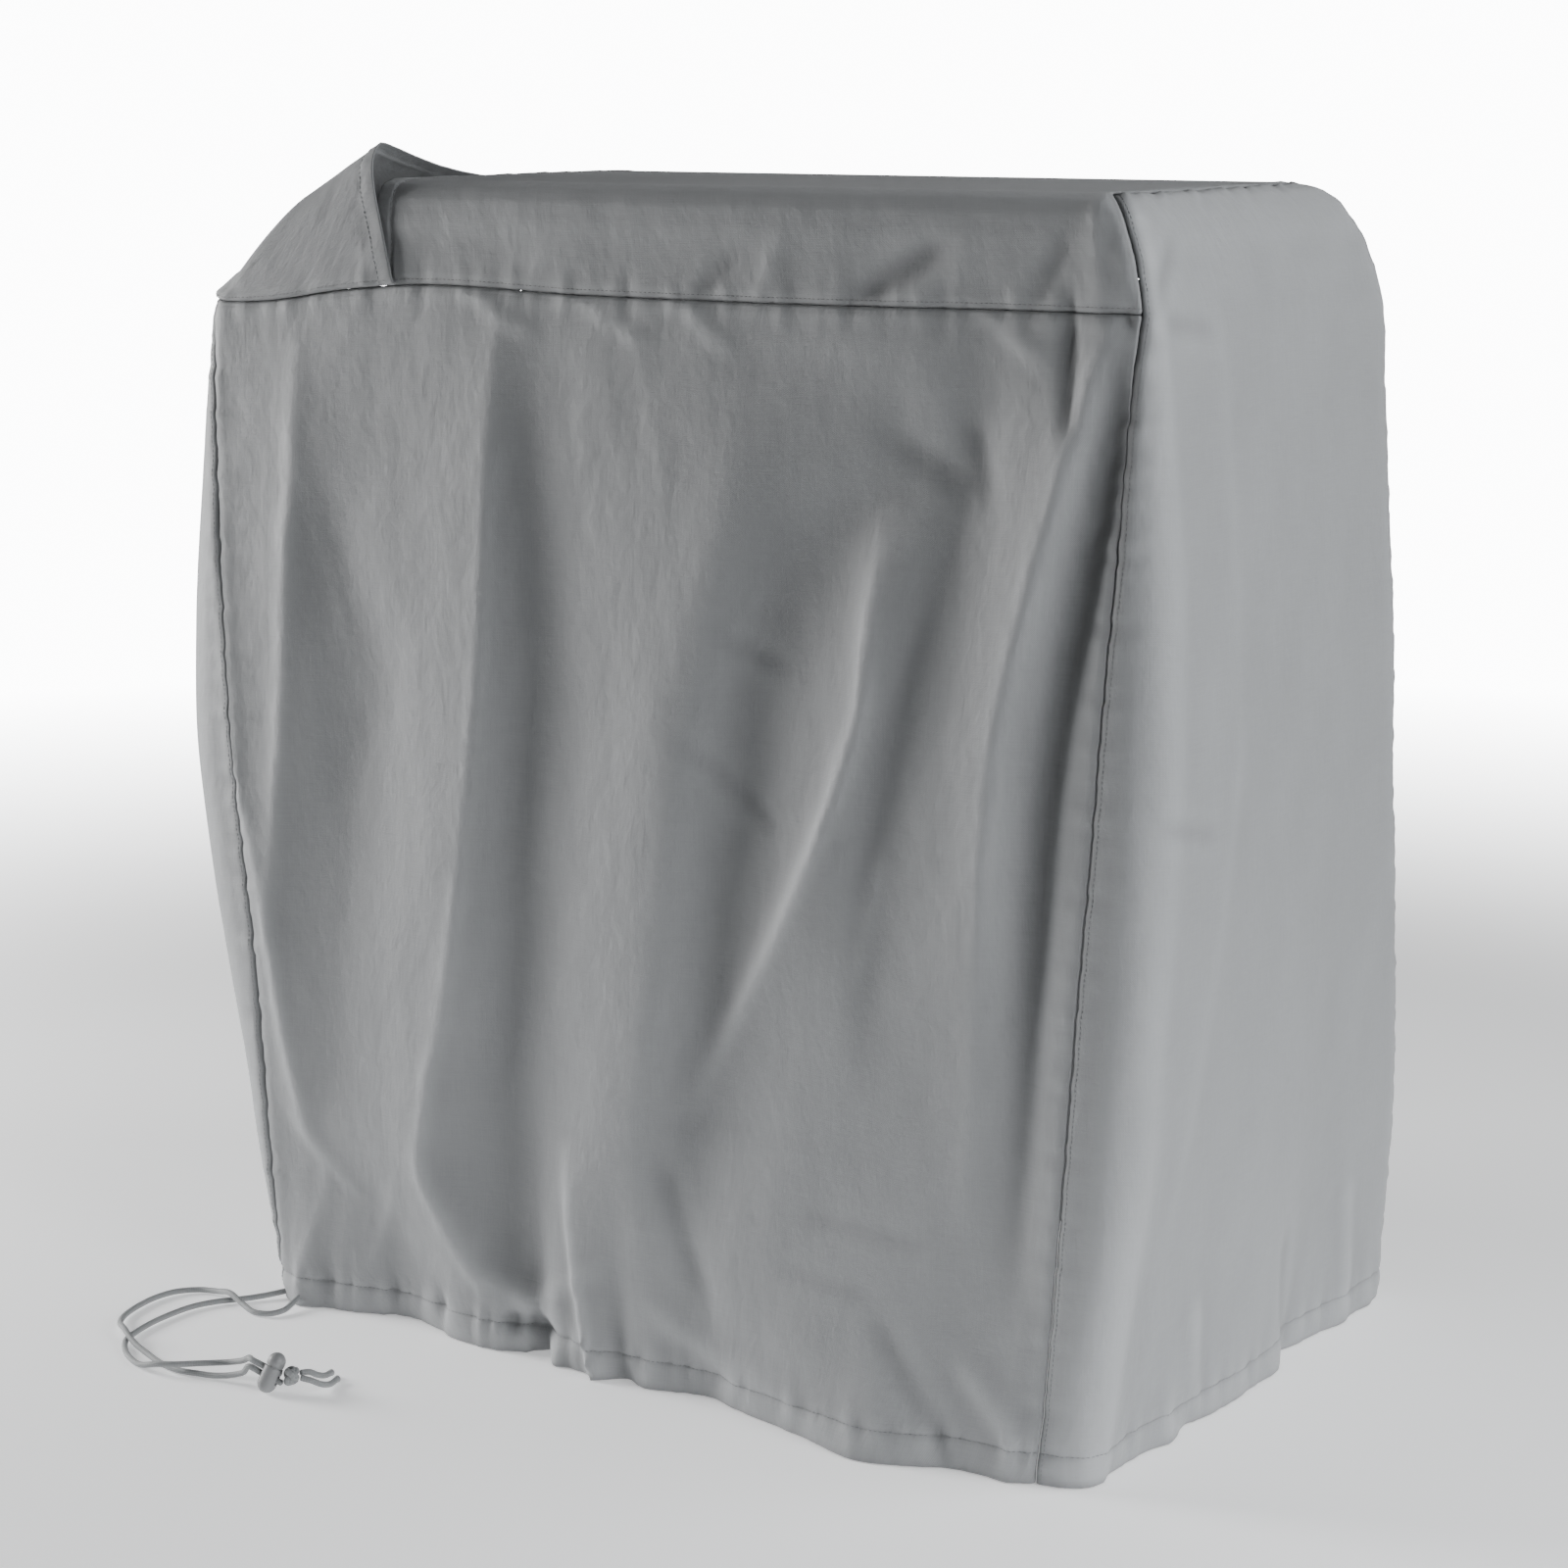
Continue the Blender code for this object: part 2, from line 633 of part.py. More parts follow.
def back_panel():
    return skirt(shares(16, 0.85), lambda z: BACK_RIGHT, lambda z: BACK_LEFT)


def side_panel():
    """The right side in one piece, from the hem over the bend of the top edge."""
    columns = shares(SIDE_COLUMNS, 0.50)
    rows = [wall_row(level, columns, right_seam, lambda z: BACK_RIGHT) for level in skirt_shares()]
    for level in shares(DROP_ROWS, 0.09, narrow_end=False):
        rows.append(drop_row(level, columns, right_seam, lambda z: BACK_RIGHT))
    return turn_in(np.array(rows), ("left", "right", "top"))


def top_panel():
    """Front drop, flat top and back drop in one grid, rows running from front to back."""
    columns = shares(18, 0.70, narrow_start=False)
    drop = shares(DROP_ROWS, 0.09, narrow_end=False)

    def vent_front(z):
        return float(front_turn(z, VENT_EDGE))

    def vent_back(z):
        return float(back_turn(z, VENT_EDGE))

    front = [drop_row(level, columns, vent_front, right_seam) for level in drop]
    back = [drop_row(level, columns, vent_back, lambda z: BACK_RIGHT) for level in drop[::-1]]
    across = shares(SIDE_COLUMNS, 0.50)
    start, end = gap_turns(HEIGHT, right_seam(HEIGHT), BACK_RIGHT)
    x, y, nx, ny = ring(HEIGHT, even_turns(HEIGHT, start, end, across))
    rim = np.stack([x - RIM_INSET * nx, y - RIM_INSET * ny, np.full(x.shape, HEIGHT)], axis=-1)
    flat = []
    for share, edge in zip(across[1:-1], rim[1:-1]):
        row = front[-1] + (back[0] - front[-1]) * share
        row += (edge - row[-1]) * columns[:, None]**3
        row[:, 2] += TOP_CROWN * math.sin(math.pi * share) * np.sin(math.pi * columns)**0.5
        flat.append(row)
    return turn_in(np.array(front + flat + back), ("right", "bottom", "top"))


def hood_line(share, fractions):
    """One arch of the vent hood from the front seam over its ridge to the back seam."""
    ridge_x, ridge_z, drop = read(HOOD_RIDGE, share)
    level = seam_level(HOOD_FOOT) + 0.5 * SEAM_GAP
    clear = HOOD_CLEARANCE * math.sin(0.5 * math.pi * share)
    front_end = left_seam(level) + (front_turn(level, HOOD_FOOT) - left_seam(level)) * share
    back_end = BACK_LEFT + (back_turn(level, HOOD_FOOT) - BACK_LEFT) * share
    front_x, front_y, _, _ = ring(seam_level(ridge_x), front_end)
    back_x, back_y, _, _ = ring(seam_level(ridge_x), back_end)
    front_y, back_y = front_y - clear, back_y + clear
    angle = np.linspace(0, math.pi, 241)
    across = -np.sign(np.cos(angle)) * np.abs(np.cos(angle))**0.28
    rise = np.sin(angle)**0.28
    foot_x = front_x + (back_x - front_x) * (across + 1) / 2
    y = front_y + (back_y - front_y) * (across + 1) / 2
    sunk = drop * (1 - np.exp(-np.maximum(y - front_y - HOOD_PEAK, 0) / HOOD_REACH))
    low = seam_level(foot_x) + 0.5 * SEAM_GAP
    z = low + (ridge_z - sunk - low) * rise
    x = foot_x + (ridge_x - foot_x) * rise * min(1, 4 * share)
    x = x - HOOD_BULGE * (1 - share)**3 * (1 - across**8)
    line = np.stack([x, y, z], axis=-1)
    run = np.concatenate([[0], np.cumsum(np.linalg.norm(np.diff(line, axis=0), axis=1))])
    return np.stack([np.interp(fractions * run[-1], run, line[:, axis]) for axis in range(3)], axis=-1)


def vent_hood():
    across = shares(11, 0.24, narrow_end=False)
    along = shares(26, 0.60)
    lines = np.array([hood_line(share, along) for share in across])
    return turn_in(np.swapaxes(lines, 0, 1), ("left", "bottom", "top"))


def smooth_route(route, spacing):
    """Evenly spaced points on a smooth curve through the route's points."""
    route = np.array(route)
    steps = np.concatenate([[0], np.cumsum(np.linalg.norm(np.diff(route, axis=0), axis=1))])
    table = np.column_stack([steps, route])
    fine = np.stack(read(table, np.linspace(0, steps[-1], 600)), axis=-1)
    run = np.concatenate([[0], np.cumsum(np.linalg.norm(np.diff(fine, axis=0), axis=1))])
    count = max(4, round(run[-1] / spacing) + 1)
    wanted = np.linspace(0, run[-1], count)
    return np.stack([np.interp(wanted, run, fine[:, axis]) for axis in range(3)], axis=-1)


def cord(name, route, spacing, group, surface):
    """A round cord along its route, as a bevelled curve with closed ends."""
    curve = bpy.data.curves.new(name, "CURVE")
    curve.dimensions = "3D"
    curve.bevel_depth = CORD / 2
    curve.bevel_resolution = 2
    curve.use_fill_caps = True
    points = smooth_route(route, spacing)
    spline = curve.splines.new("POLY")
    spline.points.add(len(points) - 1)
    for point, place in zip(spline.points, points):
        point.co = (*place, 1.0)
    obj = bpy.data.objects.new(name, curve)
    group.objects.link(obj)
    curve.materials.append(surface)
    return obj


def cord_lock(group, surface):
    """A turned barrel with a push button at one end and a slot for the two strands."""
    half = LOCK_LENGTH / 2
    waist = 0.3 * half
    profile = [(0.0, -half)]
    for step in range(1, 7):
        angle = -math.pi / 2 + step * math.pi / 12
        profile.append((LOCK_RADIUS * math.cos(angle), LOCK_RADIUS * math.sin(angle) - half + LOCK_RADIUS))
    profile += [(LOCK_RADIUS, waist), (0.86 * LOCK_RADIUS, waist + 0.001), (0.94 * LOCK_RADIUS, waist + 0.002)]
    for step in range(6):
        angle = step * math.pi / 12
        profile.append((0.94 * LOCK_RADIUS * math.cos(angle),
                        0.94 * LOCK_RADIUS * math.sin(angle) + half - 0.94 * LOCK_RADIUS))
    profile.append((0.0, half))
    mesh = bpy.data.meshes.new("cord_lock")
    mesh.from_pydata([(radius, 0, height) for radius, height in profile],
                     [(index, index + 1) for index in range(len(profile) - 1)], [])
    obj = bpy.data.objects.new("cord_lock", mesh)
    group.objects.link(obj)
    turned = obj.modifiers.new("Turned", "SCREW")
    turned.steps = 20
    turned.render_steps = 20
    turned.use_merge_vertices = True
    turned.merge_threshold = 0.0001
    turned.use_normal_calculate = True
    axis = Vector(LOCK_AXIS).normalized()
    threading = Vector(THREADING)
    threading = (threading - threading.dot(axis) * axis).normalized()
    side = axis.cross(threading)
    bpy.ops.mesh.primitive_cube_add(size=1)
    slot = bpy.context.object
    slot.name = "slot"
    for vertex in slot.data.vertices:
        vertex.co = (vertex.co.x * 0.04, vertex.co.y * LOCK_SLOT[0], vertex.co.z * LOCK_SLOT[1] - 0.001)
    cut = obj.modifiers.new("Slot", "BOOLEAN")
    cut.operation = "DIFFERENCE"
    cut.solver = "EXACT"
    cut.object = slot
    bpy.context.view_layer.update()
    solid = bpy.data.meshes.new_from_object(obj.evaluated_get(bpy.context.evaluated_depsgraph_get()))
    obj.modifiers.clear()
    obj.data = solid
    bpy.data.objects.remove(slot)
    for vertex in obj.data.vertices:
        place = threading * vertex.co.x + side * vertex.co.y + axis * vertex.co.z
        vertex.co = place + Vector(LOCK_CENTRE)
    return keep(obj, group, surface)


def cord_knot(group, surface):
    """A tight knot, a rounded body with the turns of the cord standing out across it."""
    bpy.ops.mesh.primitive_uv_sphere_add(segments=20, ring_count=12, radius=KNOT_RADIUS)
    obj = bpy.context.object
    obj.name = "cord_knot"
    pull = Vector(KNOT_PULL).normalized()
    side = Vector((0, 0, 1)).cross(pull).normalized()
    up = pull.cross(side)
    for vertex in obj.data.vertices:
        along = vertex.co.z / KNOT_RADIUS
        angle = math.atan2(vertex.co.y, vertex.co.x)
        size = 0.93 + 0.07 * math.cos(2 * math.pi * 1.4 * along + angle)
        place = pull * vertex.co.z * 0.80 + side * vertex.co.x * size + up * vertex.co.y * size
        vertex.co = place + Vector(KNOT_CENTRE)
    return keep(obj, group, surface)


def clear_scene():
    for obj in list(bpy.data.objects):
        bpy.data.objects.remove(obj)
    for group in list(bpy.data.collections):
        bpy.data.collections.remove(group)


def build():
    clear_scene()
    group = collection()
    grey = (0.26, 0.27, 0.28)
    panels = (
        ("front_panel", front_panel(), (0.26, 0.27, 0.28)),
        ("right_side_panel", side_panel(), (0.30, 0.31, 0.32)),
        ("back_panel", back_panel(), (0.24, 0.25, 0.26)),
        ("left_side_panel", left_panel(), (0.28, 0.29, 0.30)),
        ("top_panel", top_panel(), (0.27, 0.28, 0.29)),
        ("vent_hood", vent_hood(), (0.29, 0.30, 0.31)),
    )
    for name, points, colour in panels:
        sheet(name, points, group, material(name + " cloth", colour, 0.75))
    strands = (
        ("drawstring_outer", OUTER_ROUTE, 0.012),
        ("drawstring_inner", INNER_ROUTE, 0.012),
        ("drawstring_tail_upper", UPPER_TAIL_ROUTE, 0.006),
        ("drawstring_tail_lower", LOWER_TAIL_ROUTE, 0.006),
    )
    for name, route, spacing in strands:
        cord(name, route, spacing, group, material(name + " braid", grey, 0.8))
    cord_lock(group, material("cord lock plastic", (0.22, 0.23, 0.24), 0.45))
    cord_knot(group, material("knot braid", grey, 0.8))
    underside = HEIGHT + TOP_CROWN - CLOTH
    for obj in group.objects:
        obj.location.z -= underside


build()
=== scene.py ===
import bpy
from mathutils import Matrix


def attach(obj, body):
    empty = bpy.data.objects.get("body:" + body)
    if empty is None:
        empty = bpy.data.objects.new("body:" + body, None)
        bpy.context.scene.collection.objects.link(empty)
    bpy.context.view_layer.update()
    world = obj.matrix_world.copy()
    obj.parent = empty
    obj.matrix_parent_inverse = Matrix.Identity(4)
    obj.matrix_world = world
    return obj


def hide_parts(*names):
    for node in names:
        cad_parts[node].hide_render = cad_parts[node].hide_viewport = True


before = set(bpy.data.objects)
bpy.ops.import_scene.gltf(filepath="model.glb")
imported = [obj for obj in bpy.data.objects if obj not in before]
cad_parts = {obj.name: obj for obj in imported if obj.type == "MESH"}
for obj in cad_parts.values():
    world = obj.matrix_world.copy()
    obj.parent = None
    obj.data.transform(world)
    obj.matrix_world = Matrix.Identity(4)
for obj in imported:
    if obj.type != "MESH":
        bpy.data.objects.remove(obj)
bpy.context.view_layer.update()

import math

import bpy
import numpy as np
from mathutils import Vector

bl_info = {
    "name": "Hose reel cover",
    "version": (1, 0, 0),
    "blender": (4, 5, 0),
    "location": "3D View > Sidebar > Cover",
    "description": "Cloth panels, stitching and drawstring of a fitted hose reel cover",
    "category": "Object",
}

# Shapes are worked out above the floor, x to the right along the front, y to the back, z up;
# the origin of the finished pieces is the middle of the top panel's underside.
HEIGHT = 1.000
TOP_CROWN = 0.003
UNDERSIDE = 1.001
SEAM_GAP = 0.0006
SEAM_DIP = 0.0022
RIM_INSET = 0.0011
HEM_LIFT = 0.0010

# Drawstring and its fittings
LOCK_RADIUS = 0.0082
LOCK_LENGTH = 0.036
LOCK_SLOT = (0.0068, 0.0134)
KNOT_RADIUS = 0.0085

# Level cuts through the cover: walls left, right, front, back and the corner radii
SECTIONS = (
    # z, left, right, front, back, front left radius, front right radius, back radius
    (0.000, -0.404, 0.430, -0.228, 0.342, 0.022, 0.032, 0.035),
    (0.100, -0.428, 0.441, -0.230, 0.334, 0.030, 0.034, 0.035),
    (0.200, -0.449, 0.455, -0.231, 0.312, 0.040, 0.035, 0.038),
    (0.390, -0.488, 0.470, -0.232, 0.271, 0.050, 0.036, 0.045),
    (0.510, -0.502, 0.476, -0.232, 0.248, 0.050, 0.036, 0.050),
    (0.600, -0.498, 0.478, -0.232, 0.236, 0.048, 0.036, 0.050),
    (0.740, -0.481, 0.474, -0.231, 0.222, 0.040, 0.034, 0.050),
    (0.830, -0.466, 0.468, -0.230, 0.219, 0.032, 0.028, 0.050),
    (0.910, -0.448, 0.462, -0.230, 0.216, 0.026, 0.022, 0.048),
    (0.945, -0.440, 0.456, -0.230, 0.200, 0.026, 0.022, 0.046),
    (0.975, -0.434, 0.447, -0.229, 0.178, 0.026, 0.022, 0.044),
    (0.990, -0.430, 0.438, -0.224, 0.158, 0.026, 0.022, 0.042),
    (0.997, -0.428, 0.430, -0.216, 0.140, 0.026, 0.022, 0.042),
    (1.000, -0.425, 0.421, -0.205, 0.115, 0.026, 0.022, 0.042),
)
SHOULDER = 0.945

# Seams: level of the seam under the top along the front, and the two upright front seams
TOP_SEAM = (
    # x, z
    (-0.460, 0.896),
    (-0.410, 0.895),
    (-0.376, 0.897),
    (-0.293, 0.909),
    (-0.241, 0.914),
    (-0.040, 0.912),
    (0.180, 0.912),
    (0.370, 0.914),
    (0.460, 0.914),
)
LEFT_SEAM = (
    # z, x
    (0.000, -0.400),
    (0.200, -0.408),
    (0.345, -0.415),
    (0.450, -0.424),
    (0.610, -0.433),
    (0.790, -0.442),
    (0.900, -0.441),
)
RIGHT_SEAM = (
    # z, x
    (0.000, 0.383),
    (0.200, 0.398),
    (0.400, 0.412),
    (0.500, 0.420),
    (0.600, 0.427),
    (0.750, 0.439),
    (0.850, 0.446),
    (0.914, 0.453),
)
SEAM_RIGHT_END = 0.914
BACK_RIGHT = 3.5
BACK_LEFT = 5.5
VENT_EDGE = -0.258
HOOD_FOOT = -0.237

# Folds of the front: crest lines down the cloth, out is positive, keen 0 soft to 1 sharp
FRONT_FOLDS = (
    # name, keen, rows of (z, x, rise, width to the left, width to the right)
    ("left facet", 0.8, (
        (0.120, -0.335, 0.000, 0.025, 0.040),
        (0.170, -0.355, 0.006, 0.025, 0.045),
        (0.250, -0.378, 0.010, 0.028, 0.050),
        (0.330, -0.391, 0.012, 0.028, 0.050),
        (0.400, -0.402, 0.010, 0.025, 0.040),
        (0.500, -0.425, 0.008, 0.022, 0.035),
        (0.620, -0.434, 0.005, 0.022, 0.035),
        (0.720, -0.440, 0.000, 0.022, 0.035),
    )),
    ("left crease", 0.8, (
        (0.350, -0.390, 0.000, 0.040, 0.045),
        (0.450, -0.378, 0.008, 0.045, 0.050),
        (0.550, -0.367, 0.010, 0.050, 0.055),
        (0.650, -0.361, 0.010, 0.045, 0.050),
        (0.760, -0.352, 0.007, 0.040, 0.035),
        (0.870, -0.349, 0.000, 0.040, 0.030),
    )),
    ("left hollow", 0.2, (
        (0.180, -0.300, 0.000, 0.050, 0.050),
        (0.300, -0.320, -0.005, 0.050, 0.055),
        (0.450, -0.300, -0.007, 0.050, 0.055),
        (0.570, -0.283, -0.008, 0.050, 0.050),
        (0.670, -0.308, -0.006, 0.035, 0.040),
        (0.780, -0.338, 0.000, 0.030, 0.035),
    )),
    ("second crest", 0.5, (
        (0.045, -0.160, 0.005, 0.050, 0.030),
        (0.090, -0.190, 0.013, 0.070, 0.035),
        (0.150, -0.222, 0.017, 0.080, 0.035),
        (0.220, -0.213, 0.017, 0.085, 0.035),
        (0.300, -0.192, 0.016, 0.090, 0.035),
        (0.400, -0.177, 0.015, 0.090, 0.035),
        (0.500, -0.163, 0.014, 0.090, 0.035),
        (0.600, -0.152, 0.013, 0.085, 0.032),
        (0.750, -0.143, 0.010, 0.075, 0.028),
        (0.890, -0.136, 0.002, 0.060, 0.025),
    )),
    ("second hollow", 0.0, (
        (0.040, -0.125, -0.004, 0.030, 0.030),
        (0.080, -0.130, -0.012, 0.035, 0.035),
        (0.150, -0.132, -0.015, 0.040, 0.045),
        (0.250, -0.132, -0.013, 0.040, 0.060),
        (0.400, -0.118, -0.011, 0.038, 0.065),
        (0.600, -0.103, -0.009, 0.036, 0.060),
        (0.860, -0.095, -0.002, 0.035, 0.050),
    )),
    ("gather crest", 0.9, (
        (0.000, -0.042, 0.016, 0.012, 0.045),
        (0.050, -0.053, 0.014, 0.012, 0.050),
        (0.100, -0.062, 0.012, 0.012, 0.055),
        (0.150, -0.069, 0.009, 0.012, 0.055),
        (0.210, -0.073, 0.000, 0.014, 0.050),
    )),
    ("middle crest", 0.1, (
        (0.080, 0.000, 0.004, 0.080, 0.040),
        (0.200, -0.005, 0.009, 0.080, 0.036),
        (0.300, 0.008, 0.011, 0.080, 0.036),
        (0.400, 0.022, 0.012, 0.080, 0.036),
        (0.500, 0.038, 0.012, 0.080, 0.038),
        (0.620, 0.065, 0.010, 0.080, 0.040),
        (0.750, 0.085, 0.008, 0.080, 0.045),
        (0.860, 0.100, 0.000, 0.080, 0.045),
    )),
    ("middle hollow", 0.0, (
        (0.140, 0.045, 0.000, 0.040, 0.060),
        (0.200, 0.055, -0.006, 0.040, 0.060),
        (0.300, 0.080, -0.011, 0.045, 0.060),
        (0.400, 0.085, -0.013, 0.045, 0.060),
        (0.500, 0.102, -0.014, 0.048, 0.060),
        (0.620, 0.125, -0.013, 0.050, 0.060),
        (0.720, 0.180, -0.010, 0.060, 0.060),
        (0.800, 0.255, -0.008, 0.070, 0.050),
        (0.880, 0.200, 0.000, 0.080, 0.050),
    )),
    ("slanting crest", 0.5, (
        (0.230, 0.040, 0.000, 0.020, 0.040),
        (0.330, 0.095, 0.006, 0.020, 0.040),
        (0.400, 0.135, 0.009, 0.022, 0.040),
        (0.500, 0.184, 0.011, 0.022, 0.032),
        (0.600, 0.218, 0.010, 0.022, 0.028),
        (0.680, 0.225, 0.007, 0.022, 0.028),
        (0.770, 0.235, 0.000, 0.022, 0.028),
    )),
    ("upper right hollow", 0.1, (
        (0.280, 0.228, 0.000, 0.020, 0.040),
        (0.400, 0.225, -0.005, 0.020, 0.040),
        (0.500, 0.230, -0.006, 0.022, 0.042),
        (0.600, 0.250, -0.007, 0.025, 0.045),
        (0.700, 0.285, -0.010, 0.030, 0.042),
        (0.800, 0.312, -0.011, 0.035, 0.040),
        (0.890, 0.322, -0.004, 0.030, 0.030),
    )),
    ("corner crest", 0.4, (
        (0.180, 0.310, 0.000, 0.040, 0.025),
        (0.300, 0.320, 0.005, 0.040, 0.025),
        (0.400, 0.326, 0.008, 0.038, 0.024),
        (0.500, 0.331, 0.011, 0.035, 0.023),
        (0.600, 0.342, 0.013, 0.032, 0.022),
        (0.700, 0.366, 0.013, 0.030, 0.022),
        (0.780, 0.389, 0.011, 0.028, 0.020),
        (0.850, 0.410, 0.008, 0.025, 0.018),
        (0.905, 0.430, 0.002, 0.020, 0.015),
    )),
    ("corner hollow", 0.1, (
        (0.110, 0.352, 0.000, 0.025, 0.018),
        (0.200, 0.358, -0.005, 0.025, 0.018),
        (0.300, 0.363, -0.009, 0.024, 0.018),
        (0.400, 0.368, -0.011, 0.023, 0.018),
        (0.500, 0.373, -0.012, 0.022, 0.018),
        (0.600, 0.386, -0.012, 0.021, 0.017),
        (0.700, 0.406, -0.012, 0.020, 0.016),
        (0.800, 0.426, -0.009, 0.018, 0.014),
        (0.890, 0.440, -0.002, 0.016, 0.012),
    )),
    ("lower right swell", 0.0, (
        (0.000, 0.240, 0.034, 0.110, 0.110),
        (0.040, 0.220, 0.026, 0.120, 0.120),
        (0.090, 0.190, 0.015, 0.130, 0.130),
        (0.160, 0.160, 0.006, 0.130, 0.130),
        (0.240, 0.140, 0.000, 0.120, 0.120),
    )),
)
SIDE_FOLDS = (
    # name, keen, rows of (z, y, rise, width to the front, width to the back)
    ("front bend", 0.1, (
        (0.000, -0.150, -0.006, 0.040, 0.050),
        (0.150, -0.165, -0.004, 0.040, 0.050),
        (0.400, -0.150, 0.004, 0.045, 0.060),
        (0.700, -0.120, 0.004, 0.050, 0.080),
        (0.900, -0.100, 0.000, 0.050, 0.080),
    )),
    ("middle swell", 0.0, (
        (0.000, 0.020, 0.006, 0.070, 0.090),
        (0.300, 0.010, 0.005, 0.080, 0.090),
        (0.600, 0.030, -0.003, 0.090, 0.090),
        (0.900, 0.040, 0.000, 0.090, 0.090),
    )),
    ("back hollow", 0.0, (
        (0.000, 0.150, -0.007, 0.050, 0.060),
        (0.200, 0.140, -0.006, 0.055, 0.060),
        (0.450, 0.130, -0.004, 0.060, 0.060),
        (0.700, 0.120, 0.000, 0.060, 0.060),
    )),
)
LEFT_FOLDS = (
    # name, keen, rows of (z, y, rise, width to the front, width to the back)
    ("front swell", 0.0, (
        (0.000, -0.080, 0.006, 0.050, 0.060),
        (0.350, -0.070, 0.008, 0.060, 0.070),
        (0.850, -0.060, 0.000, 0.060, 0.070),
    )),
    ("back hollow", 0.0, (
        (0.000, 0.090, -0.008, 0.060, 0.070),
        (0.450, 0.070, -0.008, 0.070, 0.080),
        (0.850, 0.060, 0.000, 0.070, 0.080),
    )),
)
BACK_FOLDS = (
    # name, keen, rows of (z, x, rise, width to the left, width to the right)
    ("left swell", 0.0, (
        (0.000, -0.250, 0.012, 0.070, 0.070),
        (0.450, -0.240, 0.008, 0.080, 0.080),
        (0.850, -0.230, 0.000, 0.080, 0.080),
    )),
    ("middle hollow", 0.0, (
        (0.000, -0.050, -0.014, 0.080, 0.080),
        (0.450, -0.040, -0.009, 0.090, 0.090),
        (0.850, -0.040, 0.000, 0.090, 0.090),
    )),
    ("right swell", 0.0, (
        (0.000, 0.170, 0.010, 0.080, 0.080),
        (0.450, 0.190, 0.007, 0.090, 0.090),
        (0.850, 0.200, 0.000, 0.090, 0.090),
    )),
)

# Gathers that the drawstring pulls into the foot of the front, dying out over their height
HEM_GATHERS = (
    # x, rise, width, height
    (-0.369, 0.010, 0.018, 0.050),
    (-0.262, -0.022, 0.045, 0.080),
    (-0.112, -0.022, 0.013, 0.040),
    (-0.087, 0.007, 0.010, 0.035),
    (-0.018, -0.016, 0.014, 0.040),
    (0.060, -0.010, 0.030, 0.060),
    (0.240, 0.010, 0.035, 0.050),
    (0.310, -0.006, 0.022, 0.040),
    (0.362, 0.008, 0.016, 0.040),
)
SIDE_GATHERS = (
    # y, rise, width, height
    (-0.185, -0.006, 0.020, 0.040),
    (-0.100, 0.006, 0.018, 0.035),
    (-0.060, -0.006, 0.016, 0.035),
    (0.090, 0.006, 0.022, 0.035),
    (0.135, -0.006, 0.016, 0.040),
    (0.230, 0.007, 0.024, 0.040),
    (0.285, 0.006, 0.020, 0.040),
)

# Vent hood: height of its slanted ridge over the front, and how much lower it lies at the back
HOOD_RIDGE = (
    # share of the way to the free edge, ridge x, ridge z, drop towards the back
    (0.00, -0.438, 0.8965, 0.000),
    (0.15, -0.409, 0.920, 0.008),
    (0.30, -0.388, 0.942, 0.014),
    (0.50, -0.357, 0.974, 0.022),
    (0.65, -0.333, 0.995, 0.030),
    (0.85, -0.295, 1.023, 0.040),
    (1.00, -0.268, 1.042, 0.052),
)
HOOD_PEAK = 0.020
HOOD_REACH = 0.085
HOOD_CLEARANCE = 0.0048
HOOD_BULGE = 0.0120

# Corners of the box inside the cover that sewn edges turn in towards
CORE = ((-0.360, -0.150, 0.000), (0.360, 0.100, 0.900))

OUTER_ROUTE = (
    # x, y, z
    (-0.3700, -0.2368, 0.0090),
    (-0.3685, -0.2480, 0.0064),
    (-0.3675, -0.2600, 0.0042),
    (-0.3720, -0.2710, 0.0034),
    (-0.3850, -0.2770, 0.0033),
    (-0.4060, -0.2715, 0.0055),
    (-0.4260, -0.2650, 0.0098),
    (-0.4490, -0.2570, 0.0050),
    (-0.4700, -0.2600, 0.0033),
    (-0.4830, -0.2740, 0.0033),
    (-0.4880, -0.2960, 0.0033),
    (-0.4860, -0.3200, 0.0033),
    (-0.4790, -0.3450, 0.0036),
    (-0.4660, -0.3650, 0.0058),
    (-0.4400, -0.3865, 0.0104),
    (-0.4180, -0.3980, 0.0060),
    (-0.3940, -0.4070, 0.0036),
    (-0.3660, -0.4180, 0.0034),
    (-0.3460, -0.4210, 0.0034),
    (-0.3270, -0.4185, 0.0036),
    (-0.3095, -0.4150, 0.0042),
    (-0.2950, -0.4125, 0.0068),
    (-0.2810, -0.4120, 0.0120),
    (-0.2701, -0.4160, 0.0208),
    (-0.2585, -0.4129, 0.0161),
    (-0.2409, -0.4080, 0.0092),
)
